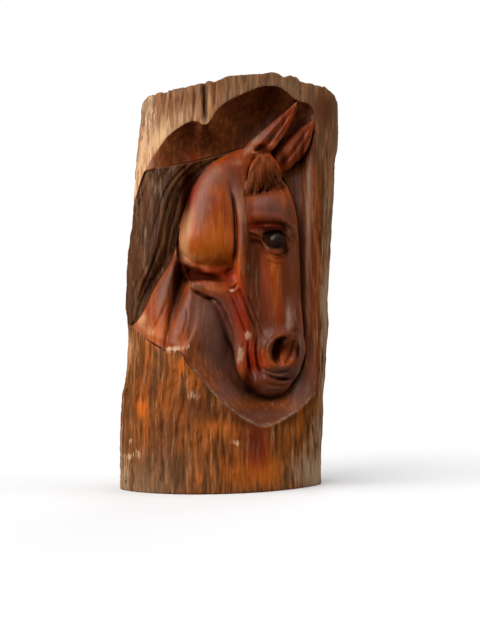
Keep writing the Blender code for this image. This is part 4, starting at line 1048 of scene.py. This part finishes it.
    # painted highlight in khaki on lit edges
    colour = w.blend(w.times(w.band(w.plus(highlight, w.times(w.sum("SUBTRACT", streak, 0.5), w.band(bark, 0, 1, 0.5, 2.2))), 0.04, 0.9), w.band(bark, 0, 1, 0.75, 0.6)), colour, (0.60, 0.30, 0.13))
    glow = w.band(w.plus(amber, w.times(w.sum("SUBTRACT", streak, 0.5), 1.5)), 0.12, 1.0)
    colour = w.blend(w.times(glow, 0.80), colour, (0.58, 0.125, 0.007))
    # deep red, partly painted shade under the brow and cheek
    colour = w.blend(w.times(w.band(red_and_shade, 0.0, 0.9), 0.85), colour, (0.34, 0.020, 0.002))
    # painted shade: dark brown patches where shade falls
    colour = w.blend(w.times(w.band(w.plus(painted_shade, w.times(w.sum("SUBTRACT", streak, 0.5), 0.5)), 0.05, 0.9), 0.85), colour, (0.090, 0.021, 0.005))
    # painted sheen: a mauve-grey reflection painted on parts that face the ceiling, and along the bowl's lower rim
    sheen_share = w.band(w.plus(painted_sheen, w.times(w.sum("SUBTRACT", cloud, 0.5), 0.9)), 0.05, 1.0)
    colour = w.blend(w.times(sheen_share, 0.80), colour, (0.165, 0.066, 0.046))
    # hair
    mane_colour = w.blend(w.band(fibre, 0.38, 0.64), (0.018, 0.006, 0.0015), (0.080, 0.028, 0.007))
    # light flecks in the mane are painted highlights on the strands
    mane_colour = w.blend(w.times(w.band(fleck, 0.54, 0.70), 0.32), mane_colour, (0.17, 0.085, 0.034))
    mane_colour = w.blend(w.times(w.band(mottle, 0.50, 0.68), 0.5), mane_colour, (0.12, 0.034, 0.008))
    mane_colour = w.blend(w.times(head_, 0.5), mane_colour, w.blend(w.band(fibre, 0.40, 0.62), (0.075, 0.016, 0.003), (0.23, 0.055, 0.010)))
    colour = w.blend(w.times(hair, w.band(head_, 0, 1, 0.90, 0.72)), colour, mane_colour)
    # grey: dry wood, with painted highlights and painted reflection
    grey_and_sheen = w.times(w.band(w.plus(ash_and_sheen, w.times(w.sum("SUBTRACT", streak, 0.5), 2.6)), 0.10, 1.0), 0.80)
    colour = w.blend(grey_and_sheen, colour, w.blend(w.band(mottle, 0.36, 0.64), (0.40, 0.275, 0.165), (0.26, 0.150, 0.080)))
    # pale chips, partly painted highlight on the top-left rim
    ragged = w.band(w.plus(w.times(pale, 0.8), w.times(w.sum("SUBTRACT", w.plus(fleck, streak), 1.0), 1.6)), 0.30, 0.62)
    colour = w.blend(w.times(w.times(ragged, w.band(pale, 0.06, 0.35)), 0.85), colour, (0.62, 0.36, 0.21))
    # painted shade darkens folds, hollows and the deepest recesses, and the eye is dark
    colour = w.blend(w.times(w.band(crease_shade, 0.10, 0.62), w.band(bark, 0, 1, 0.92, 0.42)), colour, (0.030, 0.003, 0.0005))
    colour = w.blend(w.times(w.band(hollow_shade, 0.40, 1.10), 0.55), colour, (0.085, 0.028, 0.012))
    # painted shadow: near black in the deepest holes and under overhangs
    colour = w.blend(w.times(w.band(deep, 0.05, 0.9), 0.93), colour, (0.018, 0.0015, 0.0003))
    colour = w.blend(w.times(eye, 0.96), colour, (0.024, 0.012, 0.009))
    w.join(colour, w.shader.inputs["Base Color"])

    rough = w.band(bark, 0, 1, 0.36, 0.66)
    rough = w.plus(rough, w.times(w.sum("SUBTRACT", fibre, 0.5), 0.25))
    rough = w.plus(rough, w.times(w.sum("SUBTRACT", cloud, 0.5), 0.22))
    rough = w.plus(rough, w.times(w.band(crease_shade, 0.2, 0.9), 0.2))
    rough = w.plus(rough, w.times(hair, 0.14))
    rough = w.plus(rough, w.times(deep, 0.2))
    rough = w.sum("SUBTRACT", rough, w.times(eye, 0.28), clamp=True)
    w.join(rough, w.shader.inputs["Roughness"])
    shut = w.sum("MAXIMUM", w.band(deep, 0.05, 0.8), w.band(crease_shade, 0.15, 0.75))
    w.join(w.times(w.times(w.band(shut, 0.0, 1.0, 0.24, 0.03), w.band(bark, 0.0, 1.0, 1.0, 0.6)), w.band(hair, 0.0, 1.0, 1.0, 0.45)), w.shader.inputs["Specular IOR Level"])
    w.join(w.times(w.times(w.band(shut, 0.0, 1.0, 0.12, 0.0), w.band(bark, 0.0, 1.0, 1.0, 0.15)), w.band(hair, 0.0, 1.0, 1.0, 0.2)), w.shader.inputs["Coat Weight"])
    w.shader.inputs["Coat Roughness"].default_value = 0.20

    height = w.plus(w.times(fibre, 0.6), w.times(pore, 0.25))
    height = w.times(height, w.band(bark, 0, 1, 0.30, 1.0))
    height = w.plus(height, w.times(w.times(w.band(bark, 0, 1, 1.0, 0.0), w.band(w.sum("MAXIMUM", eye, hair), 0, 1, 1.0, 0.2)), w.times(facet, 2.4)))
    height = w.plus(height, w.times(w.times(bark, mottle), 0.8))
    height = w.plus(height, w.times(w.times(sawn, marks), 0.2))
    bump = w.new("Bump")
    bump.inputs["Strength"].default_value = 0.5
    bump.inputs["Distance"].default_value = 0.0008
    w.join(height, bump.inputs["Height"])
    w.join(bump.outputs[0], w.shader.inputs["Normal"])
    return w.material


def plain(name, colour, roughness):
    w = Wiring(name)
    w.shader.inputs["Base Color"].default_value = (*colour, 1)
    w.shader.inputs["Roughness"].default_value = roughness
    w.shader.inputs["Specular IOR Level"].default_value = 0.2
    return w.material


# ---------------------------------------------------------------- studio
def floor():
    mesh = bpy.data.meshes.new("floor")
    r = 40.0
    ring = [(r * math.cos(a), r * math.sin(a), -0.0002) for a in np.linspace(0, 2 * math.pi, 64, endpoint=False)]
    mesh.from_pydata(ring, [], [list(range(64))])
    obj = bpy.data.objects.new("floor", mesh)
    mesh.materials.append(plain("pale_floor", (0.93, 0.93, 0.93), 0.8))
    bpy.context.scene.collection.objects.link(obj)
    obj.visible_diffuse = obj.visible_glossy = False


SKY = (-0.45, -0.28, 0.85)  # towards the brightest part of the studio's soft ceiling


def surroundings():
    """White behind everything that the camera sees, and a soft brighter sky than ground for the wood."""
    world = bpy.data.worlds.new("studio")
    world.use_nodes = True
    tree = world.node_tree
    back = tree.nodes["Background"]
    seen = tree.nodes.new("ShaderNodeBackground")
    seen.inputs[0].default_value = (1, 1, 1, 1)
    seen.inputs[1].default_value = 1.0
    where = tree.nodes.new("ShaderNodeTexCoord")
    toward = tree.nodes.new("ShaderNodeVectorMath")
    toward.operation = "DOT_PRODUCT"
    toward.inputs[1].default_value = SKY
    tree.links.new(where.outputs["Generated"], toward.inputs[0])
    ramp = tree.nodes.new("ShaderNodeMapRange")
    ramp.interpolation_type = "SMOOTHSTEP"
    for socket, value in zip(ramp.inputs[1:5], (0.40, 0.98, 0.04, 0.98)):
        socket.default_value = value
    tree.links.new(toward.outputs["Value"], ramp.inputs[0])
    back.inputs[0].default_value = (0.94, 0.95, 0.98, 1)
    tree.links.new(ramp.outputs[0], back.inputs[1])
    path = tree.nodes.new("ShaderNodeLightPath")
    mix = tree.nodes.new("ShaderNodeMixShader")
    tree.links.new(path.outputs["Is Camera Ray"], mix.inputs[0])
    tree.links.new(back.outputs[0], mix.inputs[1])
    tree.links.new(seen.outputs[0], mix.inputs[2])
    tree.links.new(mix.outputs[0], tree.nodes["World Output"].inputs[0])
    bpy.context.scene.world = world


def camera():
    data = bpy.data.cameras.new("camera")
    data.sensor_fit = "VERTICAL"
    data.sensor_height = 32.0
    data.lens = 32.0 * SIGHT / 640
    data.clip_start, data.clip_end = 0.02, 200
    obj = bpy.data.objects.new("camera", data)
    bpy.context.scene.collection.objects.link(obj)
    rows = [[ACROSS[i], UPWARD[i], -AHEAD[i], EYE[i]] for i in range(3)] + [[0, 0, 0, 1]]
    obj.matrix_world = Matrix(rows)
    bpy.context.scene.camera = obj


LIGHTS = [  # soft parallel lights: where from, strength, width in degrees, colour, seen in the gloss
    ("key", (-0.85, -0.62, 0.58), 1.30, 48, (1.0, 0.985, 0.955), True),
    ("front_left", (-0.85, -1.0, 0.05), 0.98, 60, (1.0, 0.97, 0.93), False),
    ("left", (-1.0, -0.12, 0.25), 2.3, 40, (1.0, 0.98, 0.95), False),
    ("right", (1.0, -0.22, 0.22), 2.7, 60, (0.95, 0.97, 1.0), False),
    ("behind", (0.4, 1.0, 0.55), 1.0, 60, (1.0, 1.0, 1.0), False),
]


def stage_all():
    floor()
    surroundings()
    for name, towards, energy, width, colour, gloss in LIGHTS:
        light = bpy.data.lights.new(name, "SUN")
        light.energy, light.angle, light.color = energy, math.radians(width), colour
        lamp = bpy.data.objects.new(name, light)
        bpy.context.scene.collection.objects.link(lamp)
        lamp.matrix_world = Vector(towards).to_track_quat("Z", "Y").to_matrix().to_4x4()
        lamp.visible_glossy = gloss
    camera()
    view = bpy.context.scene.view_settings
    view.view_transform, view.look, view.exposure = "Standard", "None", 0.0


piece = sculpture()
record_surface(piece.data)
piece.data.materials.clear()
piece.data.materials.append(wood())
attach(piece, "root")
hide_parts("carved_log_horse_head")

stage_all()
